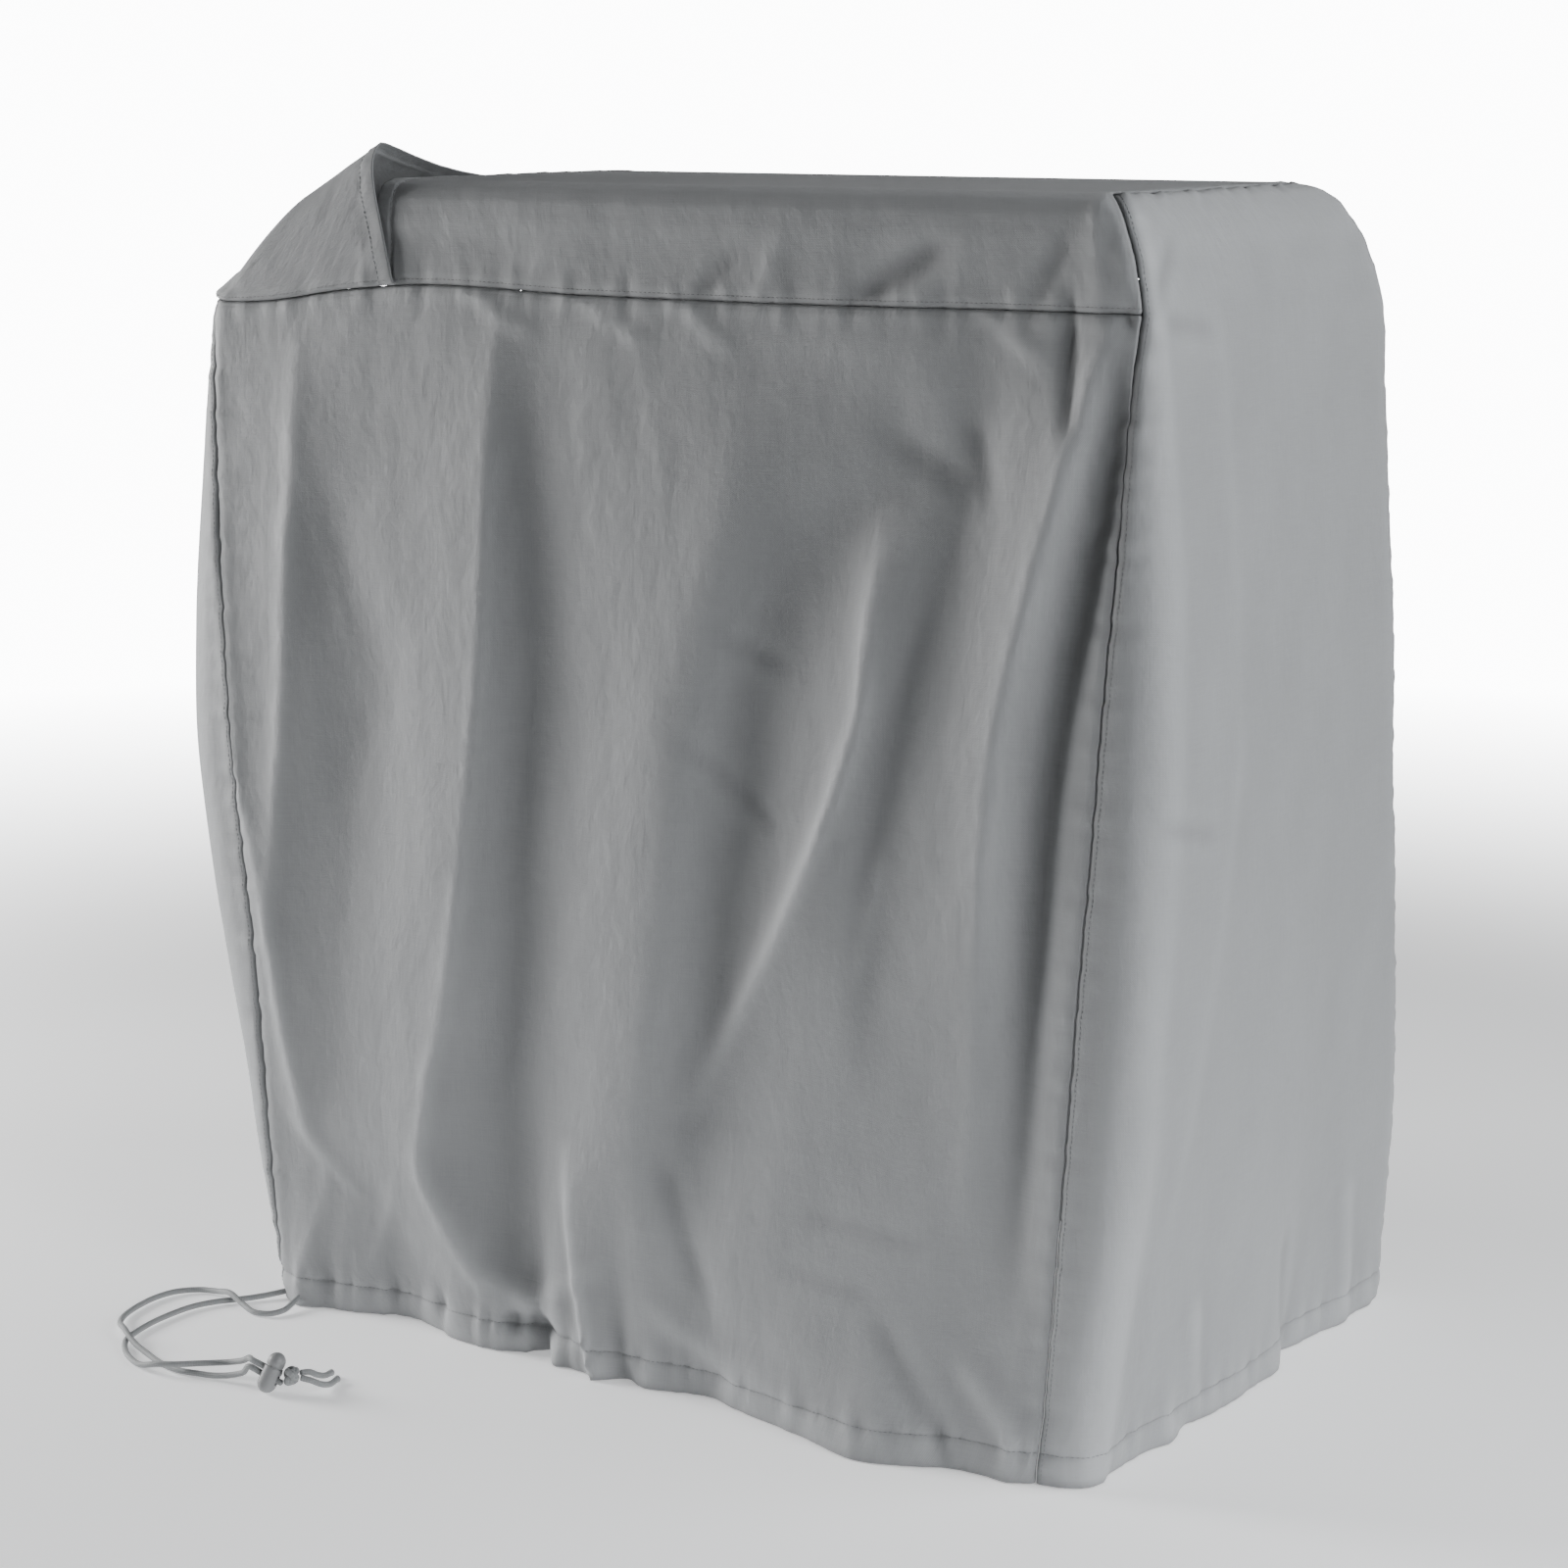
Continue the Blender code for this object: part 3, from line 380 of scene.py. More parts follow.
INNER_ROUTE = (
    # x, y, z
    (-0.3960, -0.2247, 0.0060),
    (-0.4035, -0.2347, 0.0046),
    (-0.4120, -0.2460, 0.0036),
    (-0.4220, -0.2590, 0.0033),
    (-0.4340, -0.2740, 0.0033),
    (-0.4435, -0.2950, 0.0033),
    (-0.4465, -0.3200, 0.0033),
    (-0.4455, -0.3480, 0.0033),
    (-0.4410, -0.3720, 0.0033),
    (-0.4350, -0.3900, 0.0034),
    (-0.4220, -0.4060, 0.0033),
    (-0.4020, -0.4210, 0.0033),
    (-0.3800, -0.4310, 0.0046),
    (-0.3600, -0.4320, 0.0094),
    (-0.3440, -0.4250, 0.0104),
    (-0.3320, -0.4130, 0.0098),
    (-0.3220, -0.4030, 0.0092),
    (-0.3090, -0.3975, 0.0108),
    (-0.2920, -0.4000, 0.0165),
    (-0.2770, -0.4075, 0.0245),
    (-0.2685, -0.4139, 0.0264),
    (-0.2568, -0.4108, 0.0217),
    (-0.2428, -0.4068, 0.0162),
)
UPPER_TAIL_ROUTE = (
    # x, y, z
    (-0.2312, -0.3965, 0.0170),
    (-0.2285, -0.3890, 0.0160),
    (-0.2275, -0.3800, 0.0110),
    (-0.2290, -0.3690, 0.0062),
    (-0.2330, -0.3540, 0.0034),
)
LOWER_TAIL_ROUTE = (
    # x, y, z
    (-0.2273, -0.4010, 0.0149),
    (-0.2210, -0.3960, 0.0125),
    (-0.2165, -0.3880, 0.0075),
    (-0.2160, -0.3780, 0.0040),
    (-0.2195, -0.3620, 0.0034),
)
LOCK_CENTRE = (-0.2510, -0.4097, 0.0174)
LOCK_AXIS = (0.267, 0.349, 0.898)
THREADING = (0.93, 0.36, 0.0)
KNOT_CENTRE = (-0.2348, -0.4036, 0.0162)
KNOT_PULL = (0.72, 0.69, -0.10)

# Fine creases of the front, straight strokes with a rise that dies out at both ends
FRONT_CREASES = (
    # x start, z start, x end, z end, rise, width, keen
    (-0.350, 0.850, -0.362, 0.700, 0.0009, 0.010, 0.8),
    (-0.362, 0.700, -0.372, 0.540, 0.0010, 0.010, 0.8),
    (-0.372, 0.540, -0.392, 0.350, 0.0009, 0.010, 0.8),
    (-0.392, 0.350, -0.362, 0.170, 0.0010, 0.010, 0.8),
    (-0.362, 0.170, -0.312, 0.125, 0.0018, 0.010, 0.8),
    (-0.352, 0.780, -0.285, 0.570, 0.0010, 0.014, 0.6),
    (-0.285, 0.570, -0.300, 0.420, 0.0005, 0.016, 0.3),
    (-0.135, 0.880, -0.150, 0.600, 0.0007, 0.010, 0.8),
    (-0.150, 0.600, -0.177, 0.400, 0.0008, 0.010, 0.8),
    (-0.177, 0.400, -0.214, 0.240, 0.0009, 0.010, 0.8),
    (-0.214, 0.240, -0.220, 0.150, 0.0009, 0.010, 0.8),
    (-0.220, 0.150, -0.160, 0.050, 0.0012, 0.012, 0.7),
    (-0.135, 0.030, -0.088, 0.026, -0.0060, 0.010, 0.2),
    (-0.050, 0.090, -0.120, 0.050, 0.0023, 0.012, 0.6),
    (-0.120, 0.050, -0.152, 0.062, 0.0040, 0.012, 0.6),
    (-0.052, 0.820, -0.040, 0.720, 0.0005, 0.007, 0.8),
    (0.000, 0.885, 0.028, 0.790, 0.0005, 0.008, 0.8),
    (0.028, 0.790, 0.042, 0.660, 0.0005, 0.008, 0.8),
    (0.064, 0.548, 0.120, 0.502, -0.0015, 0.009, 0.4),
    (0.098, 0.642, 0.132, 0.628, -0.0013, 0.008, 0.4),
    (0.230, 0.700, 0.222, 0.600, 0.0009, 0.009, 0.8),
    (0.222, 0.600, 0.182, 0.500, 0.0010, 0.009, 0.8),
    (0.182, 0.500, 0.090, 0.330, 0.0008, 0.010, 0.8),
    (0.232, 0.472, 0.218, 0.400, 0.0016, 0.008, 0.8),
    (0.262, 0.800, 0.282, 0.790, -0.0030, 0.014, 0.1),
    (0.312, 0.808, 0.318, 0.788, -0.0030, 0.012, 0.1),
    (0.395, 0.912, 0.396, 0.838, -0.0060, 0.009, 0.4),
    (0.188, 0.180, 0.262, 0.176, -0.0013, 0.009, 0.4),
    (0.168, 0.132, 0.222, 0.126, -0.0012, 0.008, 0.4),
    (0.030, 0.180, 0.060, 0.110, -0.0030, 0.014, 0.2),
    (-0.262, 0.120, -0.300, 0.040, 0.0014, 0.010, 0.6),
    (-0.340, 0.120, -0.372, 0.030, 0.0014, 0.010, 0.6),
    (0.040, 0.060, 0.100, 0.030, 0.0040, 0.016, 0.3),
    (0.130, 0.036, 0.180, 0.020, 0.0030, 0.014, 0.3),
    (0.330, 0.070, 0.368, 0.030, 0.0040, 0.014, 0.3),
    (0.252, 0.090, 0.292, 0.034, -0.0030, 0.012, 0.3),
    (-0.155, 0.905, -0.112, 0.884, 0.0022, 0.008, 0.5),
    (-0.050, 0.906, -0.004, 0.884, 0.0020, 0.009, 0.5),
    (0.048, 0.908, 0.082, 0.882, 0.0020, 0.009, 0.5),
    (0.326, 0.908, 0.362, 0.882, 0.0024, 0.009, 0.5),
    (0.436, 0.912, 0.455, 0.900, -0.0040, 0.010, 0.3),
    (0.070, 0.922, 0.092, 0.938, -0.0022, 0.008, 0.4),
    (0.124, 0.920, 0.136, 0.952, 0.0022, 0.009, 0.5),
    (0.226, 0.926, 0.272, 0.950, -0.0046, 0.010, 0.2),
    (0.372, 0.930, 0.386, 0.956, -0.0026, 0.009, 0.3),
    (0.412, 0.992, 0.418, 0.925, 0.0030, 0.009, 0.6),
)

# Fine creases of the right side
SIDE_CREASES = (
    # y start, z start, y end, z end, rise, width, keen
    (-0.185, 0.955, -0.205, 0.935, -0.0022, 0.009, 0.4),
    (-0.190, 0.905, -0.150, 0.900, -0.0020, 0.008, 0.4),
    (-0.205, 0.530, -0.160, 0.520, -0.0018, 0.008, 0.4),
    (-0.120, 0.880, -0.110, 0.560, 0.0014, 0.020, 0.4),
    (-0.110, 0.560, -0.150, 0.220, 0.0016, 0.020, 0.4),
    (-0.080, 0.100, -0.060, 0.030, 0.0030, 0.012, 0.5),
    (0.090, 0.110, 0.110, 0.030, -0.0026, 0.012, 0.4),
    (0.215, 0.120, 0.240, 0.030, 0.0028, 0.012, 0.5),
)

# Small puckers along sewn lines and slow unevenness of the cloth
PUCKERS = (
    # wave length, share, start
    (0.0115, 0.40, 0.3),
    (0.0173, 0.75, 1.9),
    (0.0261, 1.00, 4.1),
    (0.0417, 0.80, 2.6),
    (0.0703, 0.50, 5.2),
)
UNEVENNESS = (
    # wave length across, wave length up, share, start
    (0.061, 0.330, 0.30, 0.4),
    (0.087, -0.210, 0.45, 2.2),
    (0.133, 0.470, 0.80, 3.9),
    (-0.170, 0.260, 0.70, 5.1),
    (0.240, 0.720, 1.00, 1.3),
    (-0.105, 0.150, 0.35, 0.9),
)
PUCKER_REACH = 0.017
HEM_HEIGHT = 0.0255

# Cell edges close to a hem and to a sewn edge, and the even cell between them
HEM_STATIONS = (0.0, 0.0016, 0.0042, 0.0080, 0.0125, 0.0170, 0.0205, 0.0230, 0.0244, 0.0255, 0.0266,
                0.0282, 0.0310, 0.0350, 0.0395)
SEWN_STATIONS = (0.0, 0.0012, 0.0024, 0.0036, 0.0052, 0.0078, 0.0115)
FREE_STATIONS = (0.0, 0.0010, 0.0040, 0.0080, 0.0116, 0.0134, 0.0150, 0.0166, 0.0190)
def read(rows, key):
    """Columns of a table at the wanted first-column values, on a smooth curve through its rows."""
    table = np.array(rows, dtype=float)
    keys, values = table[:, 0], table[:, 1:]
    slopes = np.gradient(values, keys, axis=0)
    key = np.clip(np.asarray(key, dtype=float), keys[0], keys[-1])
    low = np.clip(np.searchsorted(keys, key, side="right") - 1, 0, len(keys) - 2)
    step = (keys[low + 1] - keys[low])[..., None]
    s = (key - keys[low])[..., None] / step
    start = values[low] * (2 * s**3 - 3 * s**2 + 1) + slopes[low] * step * (s**3 - 2 * s**2 + s)
    end = values[low + 1] * (3 * s**2 - 2 * s**3) + slopes[low + 1] * step * (s**3 - s**2)
    return np.moveaxis(start + end, -1, 0)


def corners(z):
    """Centre, radius and first angle of the four rounded corners, from the front right round."""
    left, right, front, back, left_radius, right_radius, back_radius = read(SECTIONS, z)
    return (
        (right - right_radius, front + right_radius, right_radius, -90.0),
        (right - back_radius, back - back_radius, back_radius, 0.0),
        (left + back_radius, back - back_radius, back_radius, 90.0),
        (left + left_radius, front + left_radius, left_radius, 180.0),
    )


def ring(z, turn):
    """Point and outward direction on the level outline; even turns start walls, odd ones corners."""
    z, turn = np.broadcast_arrays(np.asarray(z, dtype=float), np.asarray(turn, dtype=float))
    turn = np.mod(turn, 8.0)
    part = np.floor(turn).astype(int)
    share = turn - part
    arcs = corners(z)
    x, y, angle = np.zeros(z.shape), np.zeros(z.shape), np.zeros(z.shape)
    for index, (cx, cy, radius, first) in enumerate(arcs):
        px, py, before, last = arcs[index - 1]
        turned = math.radians(first)
        wall = part == 2 * index
        ax, ay = px + before * math.cos(turned), py + before * math.sin(turned)
        bx, by = cx + radius * math.cos(turned), cy + radius * math.sin(turned)
        x = np.where(wall, ax + (bx - ax) * share, x)
        y = np.where(wall, ay + (by - ay) * share, y)
        angle = np.where(wall, turned, angle)
        round_corner = part == 2 * index + 1
        bend = turned + share * math.pi / 2
        x = np.where(round_corner, cx + radius * np.cos(bend), x)
        y = np.where(round_corner, cy + radius * np.sin(bend), y)
        angle = np.where(round_corner, bend, angle)
    return x, y, np.cos(angle), np.sin(angle)


def front_turn(z, x):
    """Turn at which the outline passes a given x on the front wall or its two corners."""
    right, _, _, left = corners(z)
    start, end = left[0], right[0]
    wall = (x - start) / (end - start)
    past = 1 + np.arcsin(np.clip((x - end) / right[2], 0, 1)) / (math.pi / 2)
    short = -np.arcsin(np.clip((start - x) / left[2], 0, 1)) / (math.pi / 2)
    return np.where(x > end, past, np.where(x < start, short, wall))


def back_turn(z, x):
    """Turn at which the outline passes a given x on the back wall."""
    _, right, left, _ = corners(z)
    return 4 + (right[0] - x) / (right[0] - left[0])


def left_seam(z):
    low = np.minimum(z, LEFT_SEAM[-1][0])
    return front_turn(low, read(LEFT_SEAM, low)[0])


def right_seam(z):
    low = np.minimum(z, RIGHT_SEAM[-1][0])
    return front_turn(low, read(RIGHT_SEAM, low)[0])


def seam_level(x):
    return read(TOP_SEAM, x)[0]


def crease(offset, keen):
    """Height of a fold across its crest, one at the crest itself."""
    return (1 - keen) * np.exp(-offset**2) + keen * np.exp(-1.5 * np.abs(offset))


def fold_height(folds, along, z):
    total = np.zeros(np.shape(along))
    for _, keen, rows in folds:
        middle, rise, before, after = read(rows, z)
        width = np.where(along < middle, before, after)
        total = total + rise * crease((along - middle) / width, keen)
    return total


def gather_height(gathers, along, z):
    total = np.zeros(np.shape(along))
    for middle, rise, width, height in gathers:
        total = total + rise * np.exp(-((along - middle) / width)**2 - np.maximum(z, 0) / height)
    return total


def stroke_height(strokes, along, z):
    """Height of short straight creases, greatest at their middles."""
    total = np.zeros(np.shape(along))
    for x0, z0, x1, z1, rise, width, keen in strokes:
        run_x, run_z = x1 - x0, z1 - z0
        length = math.hypot(run_x, run_z)
        reach = ((along - x0) * run_x + (z - z0) * run_z) / length
        aside = ((along - x0) * run_z - (z - z0) * run_x) / length
        past = np.maximum(np.maximum(-reach, reach - length), 0)
        end = np.exp(-(past / (2.0 * width))**2)
        total = total + rise * end * crease(aside / width, keen)
    return total


def pucker_height(along):
    """Uneven ripple along a sewn line."""
    total = np.zeros(np.shape(along))
    for length, share, start in PUCKERS:
        total = total + share * np.sin(2 * math.pi * along / length + start)
    return total / 2.4


def uneven_height(along, up):
    total = np.zeros(np.shape(along))
    for across, rise, share, start in UNEVENNESS:
        total = total + share * np.sin(2 * math.pi * (along / across + up / rise) + start)
    return total / 2.6


def skin(z, turn):
    """Points of the cloth's outer face on the skirt, with its folds and creases."""
    x, y, nx, ny = ring(z, turn)
    upper = np.clip((SHOULDER - z) / 0.03, 0, 1)
    front = fold_height(FRONT_FOLDS, x, z) + gather_height(HEM_GATHERS, x, z)
    side = fold_height(SIDE_FOLDS, y, z) + gather_height(SIDE_GATHERS, y, z)
    left = fold_height(LEFT_FOLDS, y, z)
    back = fold_height(BACK_FOLDS, x, z)
    facing = np.maximum(-ny, 0)**2
    sideways = np.maximum(nx, 0)**2
    out = front * facing + back * np.maximum(ny, 0)**2 + left * np.maximum(-nx, 0)**2
    out = upper * (out + side * sideways)
    out = out + stroke_height(FRONT_CREASES, x, z) * facing
    out = out + stroke_height(SIDE_CREASES, y, z) * sideways
    out = out + 0.0009 * uneven_height(x + y, z) * np.clip((HEIGHT - z) / 0.05, 0, 1)
    return np.stack([x + nx * out, y + ny * out, z + np.zeros(np.shape(x))], axis=-1)


def stations(length, cell, start=SEWN_STATIONS, end=SEWN_STATIONS):
    """Shares of a length, close together at its two ends and even between them."""
    first, last = np.array(start), length - np.array(end)[::-1]
    count = max(2, round((last[0] - first[-1]) / cell))
    middle = np.linspace(first[-1], last[0], count + 1)[1:-1]
    return np.concatenate([first, middle, last]) / length


def even_turns(z, first, last, fractions):
    """Turns at even distances along the outline at one level."""
    fine = np.linspace(first, last, 161)
    x, y, _, _ = ring(np.full(fine.shape, z), fine)
    run = np.concatenate([[0], np.cumsum(np.hypot(np.diff(x), np.diff(y)))])
    return np.interp(np.asarray(fractions) * run[-1], run, fine)


def gap_turns(z, first, last):
    """The same span of turns shortened by half a seam gap at both ends."""
    fine = np.linspace(first, last, 161)
    x, y, _, _ = ring(np.full(fine.shape, z), fine)
    length = np.hypot(np.diff(x), np.diff(y)).sum()
    trim = 0.5 * SEAM_GAP / length
    return even_turns(z, first, last, [trim, 1 - trim])


def wall_row(level, columns, first, last):
    """One row of a skirt panel, at a share of the height from the hem to the seam."""
    guess = HEM_LIFT + (SEAM_RIGHT_END - HEM_LIFT) * level
    start, end = gap_turns(guess, first(guess), last(guess))
    turns = even_turns(guess, start, end, columns)
    x, _, _, _ = ring(np.full(turns.shape, guess), turns)
    z = HEM_LIFT + (seam_level(x) - 0.5 * SEAM_GAP - HEM_LIFT) * level
    return skin(z, turns)


def drop_row(level, columns, first, last):
    """One row of the front or back drop, at a share of the way from the seam to the flat top."""
    rise = 0.25 * level + 0.75 * math.sin(level * math.pi / 2)
    guess = SEAM_RIGHT_END + (HEIGHT - SEAM_RIGHT_END) * rise
    start, end = gap_turns(guess, first(guess), last(guess))
    turns = even_turns(guess, start, end, columns)
    x, _, _, _ = ring(np.full(turns.shape, guess), turns)
    low = seam_level(x) + 0.5 * SEAM_GAP
    return skin(low + (HEIGHT - low) * rise, turns)


def edge_distances(points):
    """Distance of every grid point from each edge, measured along the cloth."""
    across = np.linalg.norm(np.diff(points, axis=1), axis=-1)
    upward = np.linalg.norm(np.diff(points, axis=0), axis=-1)
    from_left = np.concatenate([np.zeros((points.shape[0], 1)), np.cumsum(across, axis=1)], axis=1)
    from_bottom = np.concatenate([np.zeros((1, points.shape[1])), np.cumsum(upward, axis=0)], axis=0)
    return {"left": from_left, "right": from_left[:, -1:] - from_left,
            "bottom": from_bottom, "top": from_bottom[-1:] - from_bottom}


def outward(points):
    """Unit normals of a grid, on the side that faces away from the cover."""
    across = np.gradient(points, axis=1)
    upward = np.gradient(points, axis=0)
    normal = np.cross(across, upward)
    return normal / np.maximum(np.linalg.norm(normal, axis=-1, keepdims=True), 1e-12)


def finish_edges(points, sewn=(), hems=(), narrow=()):
    """Puckers and grooves at sewn edges, the gathered hem channel and narrow stitched hems."""
    far = edge_distances(points)
    height = np.zeros(points.shape[:2])
    level = points[..., 0] + points[..., 1]
    ripples = {"left": pucker_height(points[..., 2]), "right": pucker_height(points[..., 2]),
               "bottom": pucker_height(level), "top": pucker_height(level)}
    sizes = bpy.context.scene.hose_cover
    for edge in sewn:
        height += sizes.pucker_depth * ripples[edge] * np.exp(-(far[edge] / PUCKER_REACH)**2)
        height += 0.0006 * np.exp(-((far[edge] - 0.0080) / 0.0045)**2)
        height -= 0.0003 * np.exp(-((far[edge] - 0.0040) / 0.0012)**2)
    for edge in hems:
        away = far[edge]
        pull = np.exp(-(np.maximum(away - HEM_HEIGHT, 0) / 0.024)**2)
        pull *= 0.45 + 0.55 * np.exp(-((away - HEM_HEIGHT) / 0.010)**2)
        pulled = 0.6 + 0.9 * np.exp(-((points[..., 0] + 0.17) / 0.14)**2) * (points[..., 1] < 0)
        height += sizes.gather_depth * ripples[edge] * pull * pulled
        height += 0.0012 * np.sin(math.pi * np.clip(away / HEM_HEIGHT, 0, 1))**0.8
        height -= 0.0007 * np.exp(-((away - HEM_HEIGHT) / 0.0020)**2)
    for edge in narrow:
        away = far[edge]
        along = points[..., 1] + 0.6 * points[..., 2]
        height += 0.0007 * pucker_height(along) * np.exp(-((away - 0.015) / 0.012)**2)
        height += 0.0005 * (away < 0.0150) - 0.0007 * np.exp(-((away - 0.0150) / 0.0014)**2)
    shaped = points + outward(points) * height[..., None]
    inward = np.clip(points, CORE[0], CORE[1]) - points
    inward /= np.linalg.norm(inward, axis=-1, keepdims=True)
    for edge in sewn:
        dip = np.clip(1 - far[edge] / 0.0034, 0, 1)**2
        shaped = shaped + inward * (SEAM_DIP * dip)[..., None]
    return shaped, far


def skirt(cells, first, last):
    """Outer points of a skirt panel between two upright seams."""
    rows = stations(SEAM_RIGHT_END, bpy.context.scene.hose_cover.cell, start=HEM_STATIONS)
    points = np.array([wall_row(level, cells, first, last) for level in rows])
    return finish_edges(points, sewn=("left", "right", "top"), hems=("bottom",))


def front_panel():
    return skirt(stations(0.85, bpy.context.scene.hose_cover.cell), left_seam, right_seam)


def left_panel():
    return skirt(stations(0.55, 1.1 * bpy.context.scene.hose_cover.cell),
                 lambda z: BACK_LEFT, lambda z: 8 + left_seam(z))


def back_panel():
    return skirt(stations(0.85, 1.5 * bpy.context.scene.hose_cover.cell),
                 lambda z: BACK_RIGHT, lambda z: BACK_LEFT)


def side_panel():
    """The right side in one piece, from the hem over the bend of the top edge."""
    cell = bpy.context.scene.hose_cover.cell
    columns = stations(0.56, cell)
    levels = stations(SEAM_RIGHT_END, cell, start=HEM_STATIONS, end=(0.0,))
    rows = [wall_row(level, columns, right_seam, lambda z: BACK_RIGHT) for level in levels]
    for level in stations(0.09, cell, start=(0.0, 0.003))[1:]:
        rows.append(drop_row(level, columns, right_seam, lambda z: BACK_RIGHT))
    return finish_edges(np.array(rows), sewn=("left", "right", "top"), hems=("bottom",))


def top_panel():
    """Front drop, flat top and back drop in one grid, rows running from front to back."""
    cell = bpy.context.scene.hose_cover.cell
    columns = stations(0.70, 1.1 * cell, start=FREE_STATIONS)
    drop = stations(0.09, cell, end=(0.0,))

    def vent_front(z):
        return float(front_turn(z, VENT_EDGE))

    def vent_back(z):
        return float(back_turn(z, VENT_EDGE))

    front = [drop_row(level, columns, vent_front, right_seam) for level in drop]
    back = [drop_row(level, columns, vent_back, lambda z: BACK_RIGHT)[:] for level in drop[::-1]]
    across = stations(0.44, cell, start=(0.0, 0.003), end=(0.0, 0.003))
    start, end = gap_turns(HEIGHT, right_seam(HEIGHT), BACK_RIGHT)
    x, y, nx, ny = ring(HEIGHT, even_turns(HEIGHT, start, end, across))
    rim = np.stack([x - RIM_INSET * nx, y - RIM_INSET * ny, np.full(x.shape, HEIGHT)], axis=-1)
    flat = []
    for share, edge in zip(across[1:-1], rim[1:-1]):
        row = front[-1] + (back[0] - front[-1]) * share
        row += (edge - row[-1]) * columns[:, None]**3
        row[:, 2] += TOP_CROWN * math.sin(math.pi * share) * np.sin(math.pi * columns)**0.5
        row[:, 2] += 0.0008 * uneven_height(row[:, 0], row[:, 1]) * math.sin(math.pi * share)
        flat.append(row)
    points = np.array(front + flat + back)
    return finish_edges(points, sewn=("right", "bottom", "top"), narrow=("left",))


def hood_line(share, fractions):
    """One arch of the vent hood from the front seam over its ridge to the back seam."""
    ridge_x, ridge_z, drop = read(HOOD_RIDGE, share)
    level = seam_level(HOOD_FOOT) + 0.5 * SEAM_GAP
    clear = HOOD_CLEARANCE * math.sin(0.5 * math.pi * share)
    front_end = left_seam(level) + (front_turn(level, HOOD_FOOT) - left_seam(level)) * share
    back_end = BACK_LEFT + (back_turn(level, HOOD_FOOT) - BACK_LEFT) * share
    front_x, front_y, _, _ = ring(seam_level(ridge_x), front_end)
    back_x, back_y, _, _ = ring(seam_level(ridge_x), back_end)
    front_y, back_y = front_y - clear, back_y + clear
    angle = np.linspace(0, math.pi, 241)
    across = -np.sign(np.cos(angle)) * np.abs(np.cos(angle))**0.28
    rise = np.sin(angle)**0.28
    foot_x = front_x + (back_x - front_x) * (across + 1) / 2
    y = front_y + (back_y - front_y) * (across + 1) / 2
    sunk = drop * (1 - np.exp(-np.maximum(y - front_y - HOOD_PEAK, 0) / HOOD_REACH))
    low = seam_level(foot_x) + 0.5 * SEAM_GAP
    z = low + (ridge_z - sunk - low) * rise
    x = foot_x + (ridge_x - foot_x) * rise * min(1, 4 * share)
    x = x - HOOD_BULGE * (1 - share)**3 * (1 - across**8)
    line = np.stack([x, y, z], axis=-1)
    run = np.concatenate([[0], np.cumsum(np.linalg.norm(np.diff(line, axis=0), axis=1))])
    return np.stack([np.interp(fractions * run[-1], run, line[:, axis]) for axis in range(3)], axis=-1)


def vent_hood():
    cell = bpy.context.scene.hose_cover.cell
    across = stations(0.24, cell, end=FREE_STATIONS)
    along = stations(0.60, cell)
    lines = np.array([hood_line(share, along) for share in across])
    points = np.swapaxes(lines, 0, 1)
    return finish_edges(points, sewn=("left", "bottom", "top"), narrow=("right",))


def smooth_route(route, spacing):
    """Evenly spaced points on a smooth curve through the route's points."""
    route = np.array(route)
    steps = np.concatenate([[0], np.cumsum(np.linalg.norm(np.diff(route, axis=0), axis=1))])
    table = np.column_stack([steps, route])
    fine = np.stack(read(table, np.linspace(0, steps[-1], 1200)), axis=-1)
    run = np.concatenate([[0], np.cumsum(np.linalg.norm(np.diff(fine, axis=0), axis=1))])
    count = max(4, round(run[-1] / spacing) + 1)
    wanted = np.linspace(0, run[-1], count)
    return np.stack([np.interp(wanted, run, fine[:, axis]) for axis in range(3)], axis=-1)


class Wire:
    """A shader socket that plain arithmetic works on; every operation adds one Math node."""

    def __init__(self, nodes, socket):
        self.nodes, self.socket = nodes, socket

    def _with(self, operation, first, second=None):
        values = {0: first} if second is None else {0: first, 1: second}
        return self.nodes.add("ShaderNodeMath", {"operation": operation}, values)["Value"]

    def __add__(self, other):
        return self._with("ADD", self, other)

    __radd__ = __add__

    def __sub__(self, other):
        return self._with("SUBTRACT", self, other)

    def __rsub__(self, other):
        return self._with("SUBTRACT", other, self)

    def __mul__(self, other):
        return self._with("MULTIPLY", self, other)

    __rmul__ = __mul__

    def __truediv__(self, other):
        return self._with("DIVIDE", self, other)

    def __pow__(self, other):
        return self._with("POWER", self, other)

    def __abs__(self):
        return self._with("ABSOLUTE", self)

    def sin(self):
        return self._with("SINE", self)

    def fract(self):
        return self._with("FRACT", self)

    def clip(self):
        return self.nodes.add("ShaderNodeClamp", {}, {"Value": self})["Result"]


